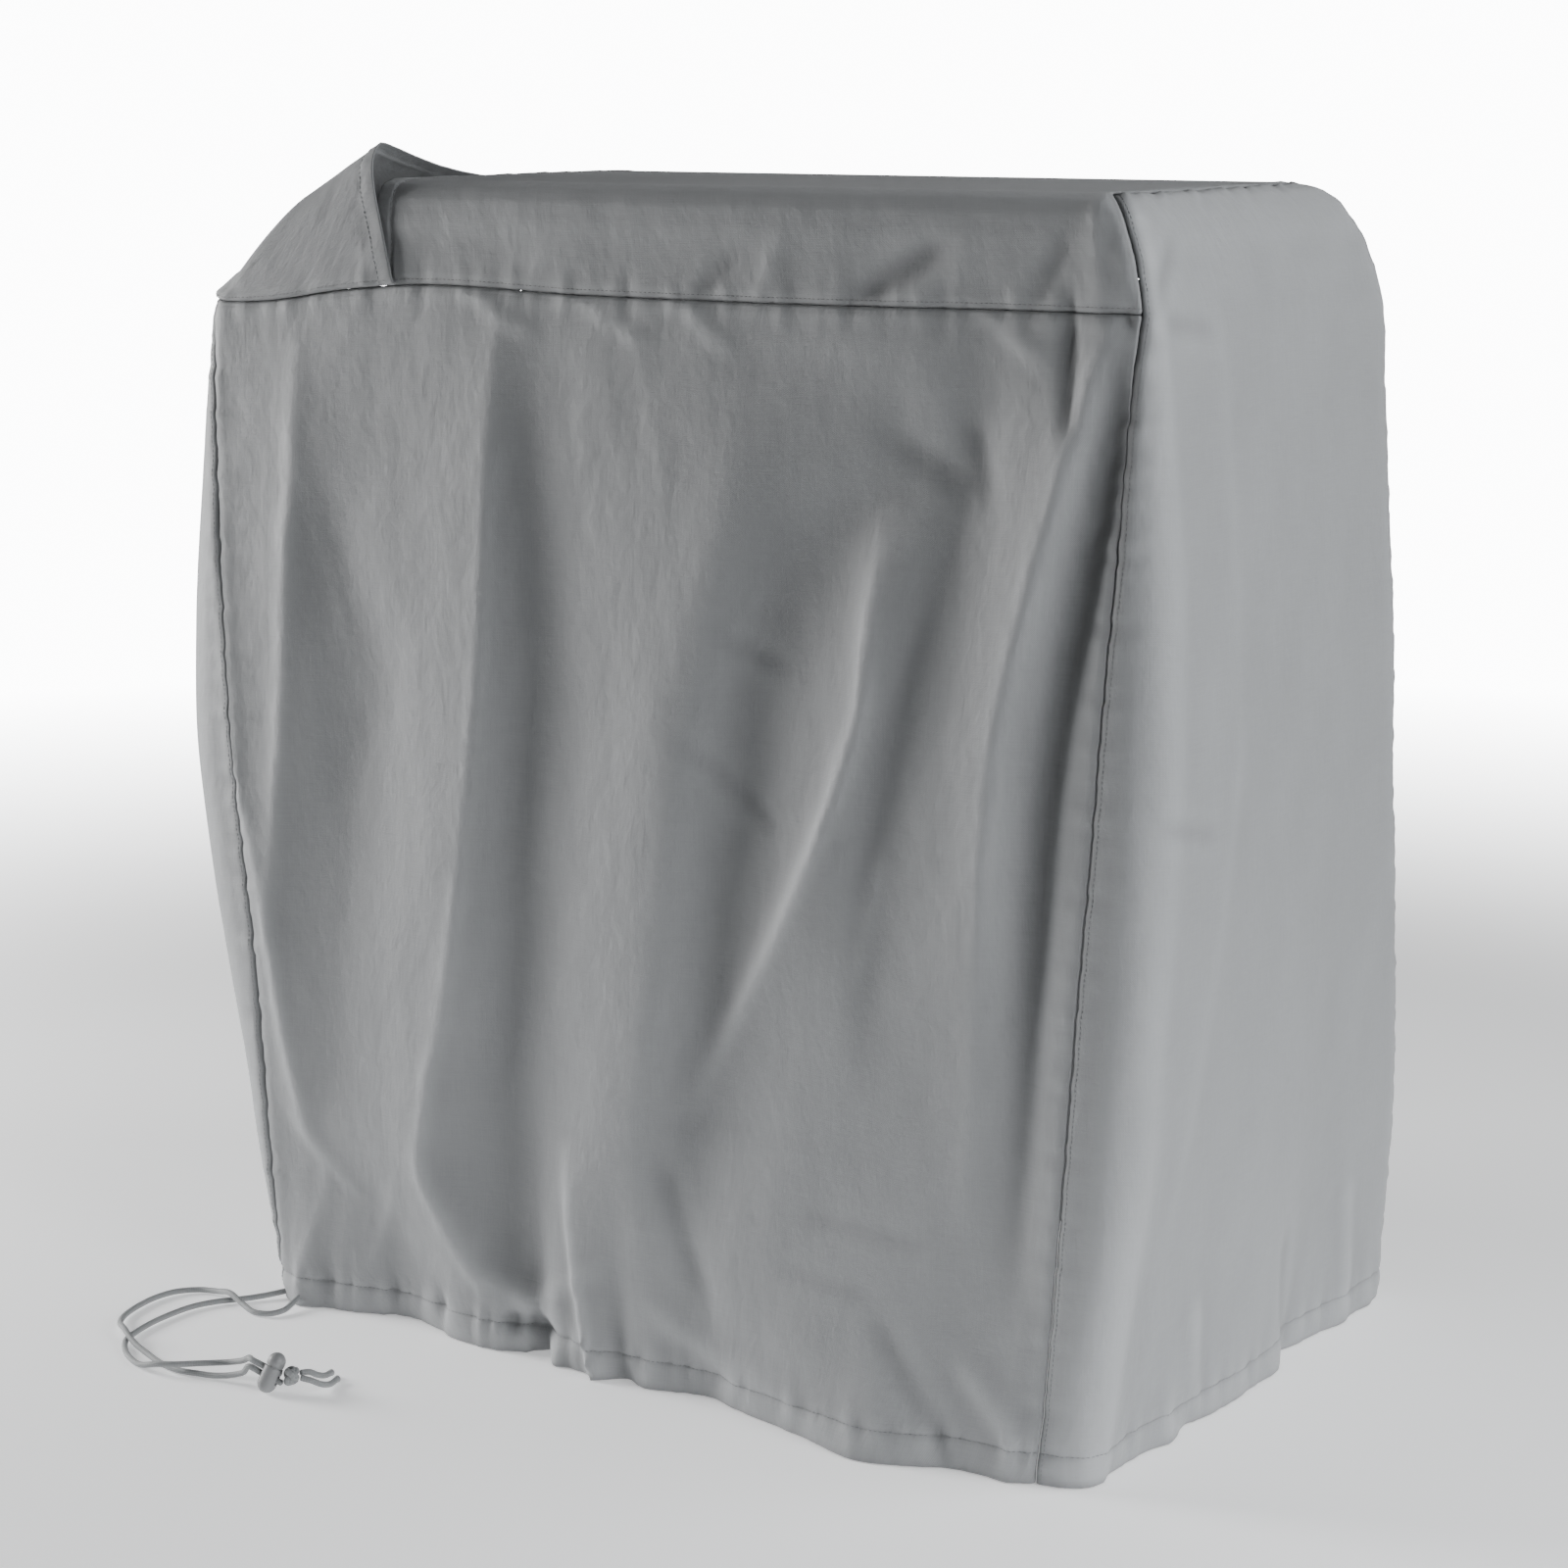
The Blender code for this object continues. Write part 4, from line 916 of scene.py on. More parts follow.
class Nodes:
    """Adds shader nodes to one material."""

    def __init__(self, tree):
        self.tree = tree

    def add(self, kind, settings, values):
        """A node of a kind, with its settings first and then the values or links of its sockets."""
        node = self.tree.nodes.new(kind)
        for name, value in settings.items():
            if name == "stops":
                for index, (place, shade) in enumerate(value):
                    stop = node.color_ramp.elements[index] if index < 2 else node.color_ramp.elements.new(place)
                    stop.position = place
                    stop.color = (shade, shade, shade, 1)
            else:
                setattr(node, name, value)
        for name, value in values.items():
            if isinstance(value, Wire):
                self.tree.links.new(value.socket, node.inputs[name])
            else:
                node.inputs[name].default_value = value
        return {socket.name: Wire(self, socket) for socket in reversed(node.outputs)}

    def noise(self, place, scale, detail=2.0, roughness=0.5):
        values = {"Vector": place, "Scale": scale, "Detail": detail, "Roughness": roughness}
        return self.add("ShaderNodeTexNoise", {}, values)["Fac"]

    def stretched(self, place, scale):
        return self.add("ShaderNodeMapping", {}, {"Vector": place, "Scale": scale})["Vector"]

    def tint(self, colour, strength):
        """One colour, lighter or darker by a wire's strength."""
        values = {0: (*colour[:3],), "Scale": strength}
        return self.add("ShaderNodeVectorMath", {"operation": "SCALE"}, values)["Vector"]


def surface(name, roughness, specular=0.4, sheen=0.0):
    """A new material with its fixed values set, its node helper and its Principled node."""
    made = bpy.data.materials.new(name)
    made.use_nodes = True
    principled = made.node_tree.nodes["Principled BSDF"]
    principled.inputs["Roughness"].default_value = roughness
    principled.inputs["Specular IOR Level"].default_value = specular
    principled.inputs["Sheen Weight"].default_value = sheen
    principled.inputs["Sheen Roughness"].default_value = 0.45
    return made, Nodes(made.node_tree), principled


def connect(nodes, principled, colour=None, roughness=None, height=None, depth=0.001):
    links = nodes.tree.links
    if colour is not None:
        links.new(colour.socket, principled.inputs["Base Color"])
    if roughness is not None:
        links.new(roughness.socket, principled.inputs["Roughness"])
    if height is not None:
        bump = nodes.add("ShaderNodeBump", {}, {"Strength": 1.0, "Distance": depth, "Height": height})
        links.new(bump["Normal"].socket, principled.inputs["Normal"])


def cloth_material(name, colour):
    """Plain woven polyester: fine crossing yarns, uneven yarn thickness, with painted shade in the hollows of the
    folds and along sewn edges and painted light on the crests.
    """
    made, nodes, principled = surface(name, 0.58, 0.35, 0.18)
    place = nodes.add("ShaderNodeUVMap", {"uv_map": "cloth"}, {})["UV"]
    parts = nodes.add("ShaderNodeSeparateXYZ", {}, {"Vector": place})
    turn = 2 * math.pi / bpy.context.scene.hose_cover.yarn_pitch
    warp = (parts["X"] * turn).sin()
    weft = (parts["Y"] * turn).sin()
    weave = warp * weft
    down = nodes.noise(nodes.stretched(place, (1700.0, 28.0, 1.0)), 1.0, 1.0)
    across = nodes.noise(nodes.stretched(place, (28.0, 1700.0, 1.0)), 1.0, 1.0)
    yarns = down + across - 1
    cloudy = nodes.noise(place, 9.0, 4.0, 0.55) - 0.5
    grain = nodes.noise(place, 620.0, 2.0, 0.6) - 0.5
    # Painted shade and light from the cloth's curvature: hollows and sewn edges darker, crests lighter
    painted_fold_shading = nodes.add("ShaderNodeAttribute", {"attribute_name": "painted_fold_shading"}, {})["Fac"]
    shade = 1 + 0.10 * cloudy + 0.16 * yarns + 0.10 * grain + 0.035 * weave + 0.30 * painted_fold_shading
    crumple = nodes.noise(nodes.stretched(place, (34.0, 20.0, 1.0)), 1.0, 3.0, 0.5)
    small = nodes.noise(nodes.stretched(place, (150.0, 90.0, 1.0)), 1.0, 2.0, 0.5)
    height = 0.9 * crumple + 0.16 * small + 0.030 * weave + 0.05 * yarns
    gloss = 0.60 + 0.12 * cloudy - 0.06 * painted_fold_shading
    connect(nodes, principled, nodes.tint(colour, shade), gloss, height, 0.0022)
    return made


def thread_material(name, colour):
    """Twisted sewing thread."""
    made, nodes, principled = surface(name, 0.5, 0.4, 0.1)
    place = nodes.add("ShaderNodeTexCoord", {}, {})["Object"]
    parts = nodes.add("ShaderNodeSeparateXYZ", {}, {"Vector": place})
    twist = ((parts["X"] + parts["Y"] + parts["Z"]) * 9000.0).sin()
    cloudy = nodes.noise(place, 60.0, 2.0) - 0.5
    shade = 1 + 0.10 * twist + 0.15 * cloudy
    connect(nodes, principled, nodes.tint(colour, shade), 0.5 + 0.1 * cloudy, twist, 0.00008)
    return made


def braid_material(name, colour):
    """Braided cord: painted shade in the valleys between its strands, each strand has fine yarns."""
    made, nodes, principled = surface(name, 0.55, 0.35, 0.2)
    place = nodes.add("ShaderNodeUVMap", {"uv_map": "braid"}, {})["UV"]
    raised = nodes.add("ShaderNodeAttribute", {"attribute_name": "raised"}, {})["Fac"]
    yarns = nodes.noise(nodes.stretched(place, (60.0, 2600.0, 1.0)), 1.0, 2.0) - 0.5
    cloudy = nodes.noise(place, 40.0, 2.0) - 0.5
    # Painted shade: the valleys between strands darker, the raised strands lighter
    shade = 0.80 + 0.26 * raised + 0.25 * yarns + 0.10 * cloudy
    connect(nodes, principled, nodes.tint(colour, shade), 0.58 + 0.12 * yarns, yarns, 0.0002)
    return made


def lock_material(name, colour):
    """Moulded plastic with a fine spark-eroded grain and slightly rubbed spots."""
    made, nodes, principled = surface(name, 0.42, 0.45)
    place = nodes.add("ShaderNodeTexCoord", {}, {})["Object"]
    grain = nodes.noise(place, 2200.0, 2.0, 0.6) - 0.5
    cloudy = nodes.noise(place, 130.0, 3.0) - 0.5
    shade = 1 + 0.08 * grain + 0.12 * cloudy
    gloss = 0.44 + 0.14 * cloudy + 0.10 * grain
    connect(nodes, principled, nodes.tint(colour, shade), gloss, grain, 0.00006)
    return made


def floor_material(name, colour):
    """Pale matt floor that glows a little, so that it stays light round the cover."""
    made, nodes, principled = surface(name, 0.9, 0.1)
    place = nodes.add("ShaderNodeTexCoord", {}, {})["Object"]
    cloudy = nodes.noise(place, 0.6, 2.0) - 0.5
    connect(nodes, principled, nodes.tint(colour, 1 + 0.01 * cloudy))
    principled.inputs["Emission Color"].default_value = (*GLOW_COLOUR, 1.0)
    principled.inputs["Emission Strength"].default_value = bpy.context.scene.hose_studio.floor_glow
    return made


def wall_material(name, colour):
    """As the floor, but brighter and brighter away from the cover, up to the white behind it."""
    settings = bpy.context.scene.hose_studio
    made, nodes, principled = surface(name, 0.9, 0.1)
    principled.inputs["Base Color"].default_value = (*colour, 1.0)
    place = nodes.add("ShaderNodeTexCoord", {}, {})["Object"]
    level = nodes.stretched(place, (1.0, 1.0, 0.0))
    distance = nodes.add("ShaderNodeVectorMath", {"operation": "LENGTH"}, {0: level})["Value"]
    far = ((distance - FLOOR_RADIUS) / WALL_FADE).clip() ** 2
    glow = nodes.tint(GLOW_COLOUR, far + settings.floor_glow / settings.wall_glow)
    nodes.tree.links.new(glow.socket, principled.inputs["Emission Color"])
    principled.inputs["Emission Strength"].default_value = settings.wall_glow
    return made


def ready(name, maker, colour):
    """The material of that name, made when it is first asked for."""
    return bpy.data.materials.get(name) or maker(name, colour)


def plain_mesh(name, points, faces):
    """An object from points above the floor, moved to the cover's own origin."""
    mesh = bpy.data.meshes.new(name)
    placed = np.array(points, dtype=float)
    placed[:, 2] -= UNDERSIDE
    mesh.from_pydata(placed.tolist(), [], faces)
    mesh.shade_smooth()
    obj = bpy.data.objects.new(name, mesh)
    bpy.context.scene.collection.objects.link(obj)
    return obj


def grid_faces(rows, columns, wrap=False):
    index = np.arange(rows * columns).reshape(rows, columns)
    if wrap:
        index = np.concatenate([index, index[:, :1]], axis=1)
    corner = np.stack([index[:-1, :-1], index[:-1, 1:], index[1:, 1:], index[1:, :-1]], axis=-1)
    return corner.reshape(-1, 4).tolist()


def spread(values):
    """Soften a grid of values by its neighbours."""
    soft = values
    for _ in range(3):
        edge = np.pad(soft, 1, mode="edge")
        soft = (edge[:-2, 1:-1] + edge[2:, 1:-1] + edge[1:-1, :-2] + edge[1:-1, 2:] + 2 * soft) / 6
    return soft


def cloth_sheet(name, points, far, node):
    """A thin sheet of cloth with its outer face on a grid of points."""
    rows, columns = points.shape[:2]
    obj = plain_mesh(name, points.reshape(-1, 3), grid_faces(rows, columns))
    mesh = obj.data
    middle = far["left"][:, columns // 2:columns // 2 + 1]
    across = (far["left"] - middle).ravel()
    upward = far["bottom"].ravel()
    corner = np.zeros(len(mesh.loops), dtype=np.int32)
    mesh.loops.foreach_get("vertex_index", corner)
    place = mesh.uv_layers.new(name="cloth")
    place.data.foreach_set("uv", np.stack([across[corner], upward[corner]], axis=-1).ravel())
    # Painted shade and light from the curvature of the cloth: darker in hollows and within a few millimetres of
    # every edge, lighter on crests
    around = (np.roll(points, 2, 0) + np.roll(points, -2, 0) + np.roll(points, 2, 1) + np.roll(points, -2, 1)) / 4
    bulge = ((points - around) * outward(points)).sum(axis=-1)
    edge = np.minimum.reduce([far[side] for side in ("left", "right", "bottom", "top")])
    bulge = np.where(edge < 0.006, 0, bulge)
    painted_fold_shading = np.clip(spread(bulge) / 0.0010, -1, 1)
    painted_fold_shading = painted_fold_shading - 0.5 * np.exp(-(edge / 0.0030)**2)
    mesh.attributes.new("painted_fold_shading", "FLOAT", "POINT").data.foreach_set("value", painted_fold_shading.ravel())
    sizes = bpy.context.scene.hose_cover
    shell = obj.modifiers.new("Cloth thickness", "SOLIDIFY")
    shell.thickness = sizes.cloth_thickness
    shell.offset = -1.0
    shell.use_even_offset = True
    shell.use_rim = True
    mesh.materials.append(ready("cover cloth", cloth_material, sizes.cloth_colour))
    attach(obj, "root")
    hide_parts(node)
    return obj


def braid_tube(name, path, radius, sides, pitch, flare=0.0):
    """A round braided tube along a path, its strands standing out in diamonds."""
    path = np.array(path)
    count = len(path)
    ahead = np.gradient(path, axis=0)
    ahead /= np.linalg.norm(ahead, axis=1, keepdims=True)
    up = np.array([0.0, 0.0, 1.0])
    side = np.cross(ahead[0], up) if abs(ahead[0][2]) < 0.9 else np.cross(ahead[0], [1.0, 0.0, 0.0])
    sideways = []
    for direction in ahead:
        side = side - direction * side.dot(direction)
        side = side / np.linalg.norm(side)
        sideways.append(side)
    sideways = np.array(sideways)
    upward = np.cross(ahead, sideways)
    run = np.concatenate([[0], np.cumsum(np.linalg.norm(np.diff(path, axis=0), axis=1))])
    angle = np.arange(sides) * 2 * math.pi / sides
    along = run[:, None] * 2 * math.pi / pitch
    raised = 0.5 + 0.5 * np.cos(4 * angle[None] + along) * np.cos(4 * angle[None] - along)
    size = radius * (0.95 + 0.05 * raised)
    size = size * (1 + flare * np.exp(-((run[-1] - run) / 0.0035)**2))[:, None]
    round_off = np.minimum(1, np.sqrt(np.clip((np.minimum(run, run[-1] - run) + 0.0002) / 0.0009, 0, 1)))
    size = size * round_off[:, None]
    ring_points = (path[:, None] + size[..., None] * (np.cos(angle)[None, :, None] * sideways[:, None]
                                                      + np.sin(angle)[None, :, None] * upward[:, None]))
    points = np.concatenate([ring_points.reshape(-1, 3), path[:1], path[-1:]])
    faces = grid_faces(count, sides, wrap=True)
    last = (count - 1) * sides
    for index in range(sides):
        after = (index + 1) % sides
        faces.append((count * sides, after, index))
        faces.append((count * sides + 1, last + index, last + after))
    obj = plain_mesh(name, points, faces)
    mesh = obj.data
    corner = np.zeros(len(mesh.loops), dtype=np.int32)
    mesh.loops.foreach_get("vertex_index", corner)
    ends = np.array([[0.5, 0.0], [0.5, run[-1]]])
    flat = np.concatenate([np.stack([np.repeat(angle[None] / (2 * math.pi), count, axis=0),
                                     np.repeat(run[:, None], sides, axis=1)], axis=-1).reshape(-1, 2), ends])
    mesh.uv_layers.new(name="braid").data.foreach_set("uv", flat[corner].ravel())
    # The strand height is also stored for the painted shade between strands in the braid material
    shade = np.concatenate([raised.ravel(), [0.5, 0.5]])
    mesh.attributes.new("raised", "FLOAT", "POINT").data.foreach_set("value", shade)
    mesh.materials.append(ready("drawstring braid", braid_material, bpy.context.scene.hose_cover.cord_colour))
    return obj


# Cloth pieces: the shape's maker, the CAD node, the cut size and what the piece hangs from
PANELS = {
    # piece: (maker, node, cut width, cut length, hangs from)
    "front_cloth": (front_panel, "front_panel", 0.90, 0.94, ("top_panel", "right_side_panel")),
    "right_side_cloth": (side_panel, "right_side_panel", 0.58, 1.02, ("top_panel",)),
    "back_cloth": (back_panel, "back_panel", 0.92, 0.96, ("top_panel", "right_side_panel")),
    "left_side_cloth": (left_panel, "left_side_panel", 0.60, 0.95, ("vent_hood", "front_panel")),
    "top_cloth": (top_panel, "top_panel", 0.71, 0.58, ("right_side_panel",)),
    "vent_hood_cloth": (vent_hood, "vent_hood", 0.20, 0.61, ("left_side_panel", "front_panel")),
}

# Stitched lines: on which piece, along which edge and how far from it
STITCH_LINES = (
    # piece, edge, distance
    ("front_cloth", "bottom", 0.0255),
    ("right_side_cloth", "bottom", 0.0255),
    ("back_cloth", "bottom", 0.0255),
    ("left_side_cloth", "bottom", 0.0255),
    ("right_side_cloth", "left", 0.0040),
    ("right_side_cloth", "right", 0.0040),
    ("right_side_cloth", "top", 0.0040),
    ("left_side_cloth", "right", 0.0040),
    ("left_side_cloth", "left", 0.0040),
    ("top_cloth", "bottom", 0.0040),
    ("top_cloth", "top", 0.0040),
    ("top_cloth", "left", 0.0150),
    ("vent_hood_cloth", "left", 0.0040),
    ("vent_hood_cloth", "bottom", 0.0040),
    ("vent_hood_cloth", "top", 0.0040),
    ("vent_hood_cloth", "right", 0.0150),
)

# The two strands and the two free ends: route, length, what is at the far end
STRANDS = {
    # piece: (node, route, length, far end, braid flare at the end)
    "outer_strand": ("drawstring_outer", OUTER_ROUTE, 0.506, "knot", 0.0),
    "inner_strand": ("drawstring_inner", INNER_ROUTE, 0.413, "knot", 0.0),
    "upper_free_end": ("drawstring_tail_upper", UPPER_TAIL_ROUTE, 0.046, "bare", 0.16),
    "lower_free_end": ("drawstring_tail_lower", LOWER_TAIL_ROUTE, 0.046, "bare", 0.16),
}

SHAPED = {}


def shape_of(piece):
    """Grid points and edge distances of a cloth piece, worked out once."""
    if piece not in SHAPED:
        SHAPED[piece] = PANELS[piece][0]()
    return SHAPED[piece]


def lay_cloth(piece):
    points, far = shape_of(piece)
    _, node, width, length, hangs_from = PANELS[piece]
    return cloth_sheet(piece, points, far, node)


def stitch_path(piece, edge, away):
    """Points and outward directions of a line at an even distance from an edge of a piece."""
    points, far = shape_of(piece)
    normals = outward(points)
    distance = far[edge]
    if edge in ("left", "right"):
        points, normals, distance = (np.swapaxes(grid, 0, 1) for grid in (points, normals, distance))
    found, facing = [], []
    for column in range(points.shape[1]):
        reach = distance[:, column]
        order = slice(None) if reach[0] < reach[-1] else slice(None, None, -1)
        place = [np.interp(away, reach[order], points[order, column, axis]) for axis in range(3)]
        normal = [np.interp(away, reach[order], normals[order, column, axis]) for axis in range(3)]
        found.append(place)
        facing.append(normal)
    facing = np.array(facing)
    facing /= np.linalg.norm(facing, axis=1, keepdims=True)
    return np.array(found)[2:-2] + 0.0001 * facing[2:-2], facing[2:-2]


def stitch_tree():
    """Geometry Nodes that put rounded stitches, evenly apart, along every line of a mesh."""
    tree = bpy.data.node_groups.new("Row of stitches", "GeometryNodeTree")
    tree.interface.new_socket("Lines", in_out="INPUT", socket_type="NodeSocketGeometry")
    for name in ("Pitch", "Length", "Thickness", "Unevenness"):
        tree.interface.new_socket(name, in_out="INPUT", socket_type="NodeSocketFloat")
    tree.interface.new_socket("Thread", in_out="INPUT", socket_type="NodeSocketMaterial")
    tree.interface.new_socket("Stitches", in_out="OUTPUT", socket_type="NodeSocketGeometry")

    def add(kind, settings, values):
        node = tree.nodes.new(kind)
        for name, value in settings.items():
            setattr(node, name, value)
        for name, value in values.items():
            if isinstance(value, bpy.types.NodeSocket):
                tree.links.new(value, node.inputs[name])
            else:
                node.inputs[name].default_value = value
        return node.outputs

    given = add("NodeGroupInput", {}, {})
    lines = add("GeometryNodeMeshToCurve", {}, {"Mesh": given["Lines"]})["Curve"]
    spots = add("GeometryNodeResampleCurve", {"mode": "LENGTH"}, {"Curve": lines, "Length": given["Pitch"]})
    ball = add("GeometryNodeMeshUVSphere", {}, {"Segments": 6, "Rings": 4, "Radius": 0.5})["Mesh"]
    size = add("ShaderNodeCombineXYZ", {}, {"X": given["Length"], "Y": given["Thickness"],
                                            "Z": given["Thickness"]})["Vector"]
    stitch = add("GeometryNodeTransform", {}, {"Geometry": ball, "Scale": size})["Geometry"]
    onward = add("GeometryNodeInputTangent", {}, {})["Tangent"]
    facing = add("GeometryNodeInputNamedAttribute", {"data_type": "FLOAT_VECTOR"}, {"Name": "facing"})
    turned = add("FunctionNodeAlignRotationToVector", {"axis": "X"}, {"Vector": onward})["Rotation"]
    laid = add("FunctionNodeAlignRotationToVector", {"axis": "Z", "pivot_axis": "X"},
               {"Rotation": turned, "Vector": facing["Attribute"]})["Rotation"]
    low = add("ShaderNodeMath", {"operation": "SUBTRACT"}, {0: 1.0, 1: given["Unevenness"]})["Value"]
    high = add("ShaderNodeMath", {"operation": "ADD"}, {0: 1.0, 1: given["Unevenness"]})["Value"]
    uneven = add("FunctionNodeRandomValue", {"data_type": "FLOAT"}, {"Seed": 7})
    random = uneven["Value"].node
    for name, bound in (("Min", low), ("Max", high)):
        socket = [one for one in random.inputs if one.name == name and one.type == "VALUE"][0]
        tree.links.new(bound, socket)
    drawn = [one for one in random.outputs if one.name == "Value" and one.type == "VALUE"][0]
    placed = add("GeometryNodeInstanceOnPoints", {}, {"Points": spots["Curve"], "Instance": stitch,
                                                      "Rotation": laid, "Scale": drawn})["Instances"]
    real = add("GeometryNodeRealizeInstances", {}, {"Geometry": placed})["Geometry"]
    smooth = add("GeometryNodeSetShadeSmooth", {}, {"Geometry": real})["Geometry"]
    shown = add("GeometryNodeSetMaterial", {}, {"Geometry": smooth, "Material": given["Thread"]})
    add("NodeGroupOutput", {}, {"Stitches": shown["Geometry"]})
    return tree


def stitched_mesh(name, paths):
    """Stitches along all the paths as one plain mesh."""
    sizes = bpy.context.scene.hose_cover
    points = np.concatenate([path for path, _ in paths])
    edges, first = [], 0
    for path, _ in paths:
        edges += [(index, index + 1) for index in range(first, first + len(path) - 1)]
        first += len(path)
    mesh = bpy.data.meshes.new(name + " lines")
    mesh.from_pydata((points - [0, 0, UNDERSIDE]).tolist(), edges, [])
    facing = np.concatenate([normals for _, normals in paths]).astype(np.float32)
    mesh.attributes.new("facing", "FLOAT_VECTOR", "POINT").data.foreach_set("vector", facing.ravel())
    obj = bpy.data.objects.new(name, mesh)
    bpy.context.scene.collection.objects.link(obj)
    rows = obj.modifiers.new("Stitches", "NODES")
    rows.node_group = stitch_tree()
    given = {"Pitch": sizes.stitch_pitch, "Length": sizes.stitch_length, "Thickness": sizes.thread_thickness,
             "Unevenness": 0.08, "Thread": ready("sewing thread", thread_material, sizes.thread_colour)}
    for item in rows.node_group.interface.items_tree:
        if item.in_out == "INPUT" and item.name in given:
            rows[item.identifier] = given[item.name]
    made = bpy.data.meshes.new_from_object(obj.evaluated_get(bpy.context.evaluated_depsgraph_get()))
    obj.modifiers.clear()
    obj.data = made
    if not made.polygons:
        raise RuntimeError("no stitches were made")
    return obj


def lock_profile():
    """Half outline of the barrel and its push button: radius and height."""
    half = LOCK_LENGTH / 2
    waist = 0.3 * half
    rows = [(0.0, -half)]
    for step in range(1, 13):
        angle = -math.pi / 2 + step * math.pi / 24
        rows.append((LOCK_RADIUS * math.cos(angle), LOCK_RADIUS * (math.sin(angle) + 1) - half))
    rows += [(LOCK_RADIUS, waist - 0.0012), (0.985 * LOCK_RADIUS, waist - 0.0004), (0.93 * LOCK_RADIUS, waist)]
    rows += [(0.84 * LOCK_RADIUS, waist + 0.0002), (0.84 * LOCK_RADIUS, waist + 0.0010)]
    rows += [(0.90 * LOCK_RADIUS, waist + 0.0012), (0.94 * LOCK_RADIUS, waist + 0.0019)]
    for step in range(1, 13):
        angle = step * math.pi / 24
        radius = 0.94 * LOCK_RADIUS
        rows.append((radius * math.cos(angle), radius * (math.sin(angle) - 1) + half))
    rows[-1] = (0.0, half)
    return rows


def turned_lock(name):
    """The cord lock: a turned barrel with a push button and a slot for both strands."""
    rows = lock_profile()
    mesh = bpy.data.meshes.new(name)
    mesh.from_pydata([(radius, 0, height) for radius, height in rows],
                     [(index, index + 1) for index in range(len(rows) - 1)], [])
    obj = bpy.data.objects.new(name, mesh)
    bpy.context.scene.collection.objects.link(obj)
    turned = obj.modifiers.new("Turned", "SCREW")
    turned.steps = 48
    turned.render_steps = 48
    turned.use_merge_vertices = True
    turned.merge_threshold = 0.00001
    turned.use_normal_calculate = True
    axis = Vector(LOCK_AXIS).normalized()
    threading = Vector(THREADING)
    threading = (threading - threading.dot(axis) * axis).normalized()
    side = axis.cross(threading)
    bpy.ops.mesh.primitive_cube_add(size=1)
    slot = bpy.context.object
    for vertex in slot.data.vertices:
        vertex.co = (vertex.co.x * 0.04, vertex.co.y * LOCK_SLOT[0], vertex.co.z * LOCK_SLOT[1] - 0.001)
    cut = obj.modifiers.new("Slot", "BOOLEAN")
    cut.operation = "DIFFERENCE"
    cut.solver = "EXACT"
    cut.object = slot
    bpy.context.view_layer.update()
    solid = bpy.data.meshes.new_from_object(obj.evaluated_get(bpy.context.evaluated_depsgraph_get()))
    obj.modifiers.clear()
    obj.data = solid
    bpy.data.objects.remove(slot)
    centre = Vector(LOCK_CENTRE) - Vector((0, 0, UNDERSIDE))
    for vertex in obj.data.vertices:
        vertex.co = threading * vertex.co.x + side * vertex.co.y + axis * vertex.co.z + centre
    rounded = obj.modifiers.new("Soft slot edges", "BEVEL")
    rounded.width = 0.0004
    rounded.segments = 3
    rounded.limit_method = "ANGLE"
    rounded.angle_limit = math.radians(50)
    obj.data.set_sharp_from_angle(angle=math.radians(50))
    return obj


def tied_knot(name):
    """Two parallel turns of the cord pulled into one tight overhand knot."""
    pull = Vector(KNOT_PULL).normalized()
    side = Vector((0, 0, 1)).cross(pull).normalized()
    up = pull.cross(side)
    frame_rows = np.array([side, up, pull])
    turns = np.linspace(0, 2 * math.pi, 240)
    joined = []
    for size, twist, shift in ((1.0, 0.0, -0.0011), (0.86, 0.9, 0.0015)):
        around = turns + twist
        flat_x = np.sin(around) + 2 * np.sin(2 * around)
        flat_y = np.cos(around) - 2 * np.cos(2 * around)
        local = np.stack([0.00215 * size * flat_x, 0.00215 * size * flat_y,
                          -0.0026 * np.sin(3 * around) + shift], axis=-1)
        path = local @ frame_rows + np.array(KNOT_CENTRE)
        joined.append(braid_tube(name, path, 0.00262, 20, 0.0044))
    with bpy.context.temp_override(active_object=joined[0], selected_editable_objects=joined):
        bpy.ops.object.join()
    return joined[0]


def frayed_tips(name):
    """Short loose fibres at the two cut ends."""
    chance = np.random.default_rng(5)
    points, faces = [], []
    for route in (UPPER_TAIL_ROUTE, LOWER_TAIL_ROUTE):
        path = smooth_route(route, 0.0006)
        onward = path[-1] - path[-4]
        onward /= np.linalg.norm(onward)
        for _ in range(34):
            spread_out = chance.normal(0, 1, 3)
            spread_out -= onward * spread_out.dot(onward)
            spread_out /= np.linalg.norm(spread_out)
            root = path[-1] + spread_out * 0.0026 * math.sqrt(chance.uniform(0.02, 1)) - onward * 0.0008
            direction = onward + 0.35 * spread_out * chance.uniform(0, 1)
            tip = root + direction * chance.uniform(0.0014, 0.0028)
            root[2] = max(root[2], 0.0004)
            tip[2] = max(tip[2], 0.0005)
            across = np.cross(direction, spread_out)
            across /= np.linalg.norm(across)
            first = len(points)
            for turn in range(3):
                angle = turn * 2 * math.pi / 3
                points.append(root + 0.00022 * (math.cos(angle) * spread_out + math.sin(angle) * across))
            points.append(tip)
            faces += [(first, first + 2, first + 1), (first, first + 1, first + 3),
                      (first + 1, first + 2, first + 3), (first + 2, first, first + 3)]
    obj = plain_mesh(name, points, faces)
    obj.data.materials.append(ready("sewing thread", thread_material, bpy.context.scene.hose_cover.thread_colour))
    return obj


def soft_light(name, place, aim, size, power, colour):
    """A large square studio light, aimed at a point."""
    lamp = bpy.data.lights.new(name, "AREA")
    lamp.shape = "SQUARE"
    lamp.size = size
    lamp.energy = power
    lamp.color = colour
    obj = bpy.data.objects.new(name, lamp)
    obj.location = place
    obj.rotation_euler = (Vector(aim) - Vector(place)).to_track_quat("-Z", "Y").to_euler()
    bpy.context.scene.collection.objects.link(obj)
    return obj


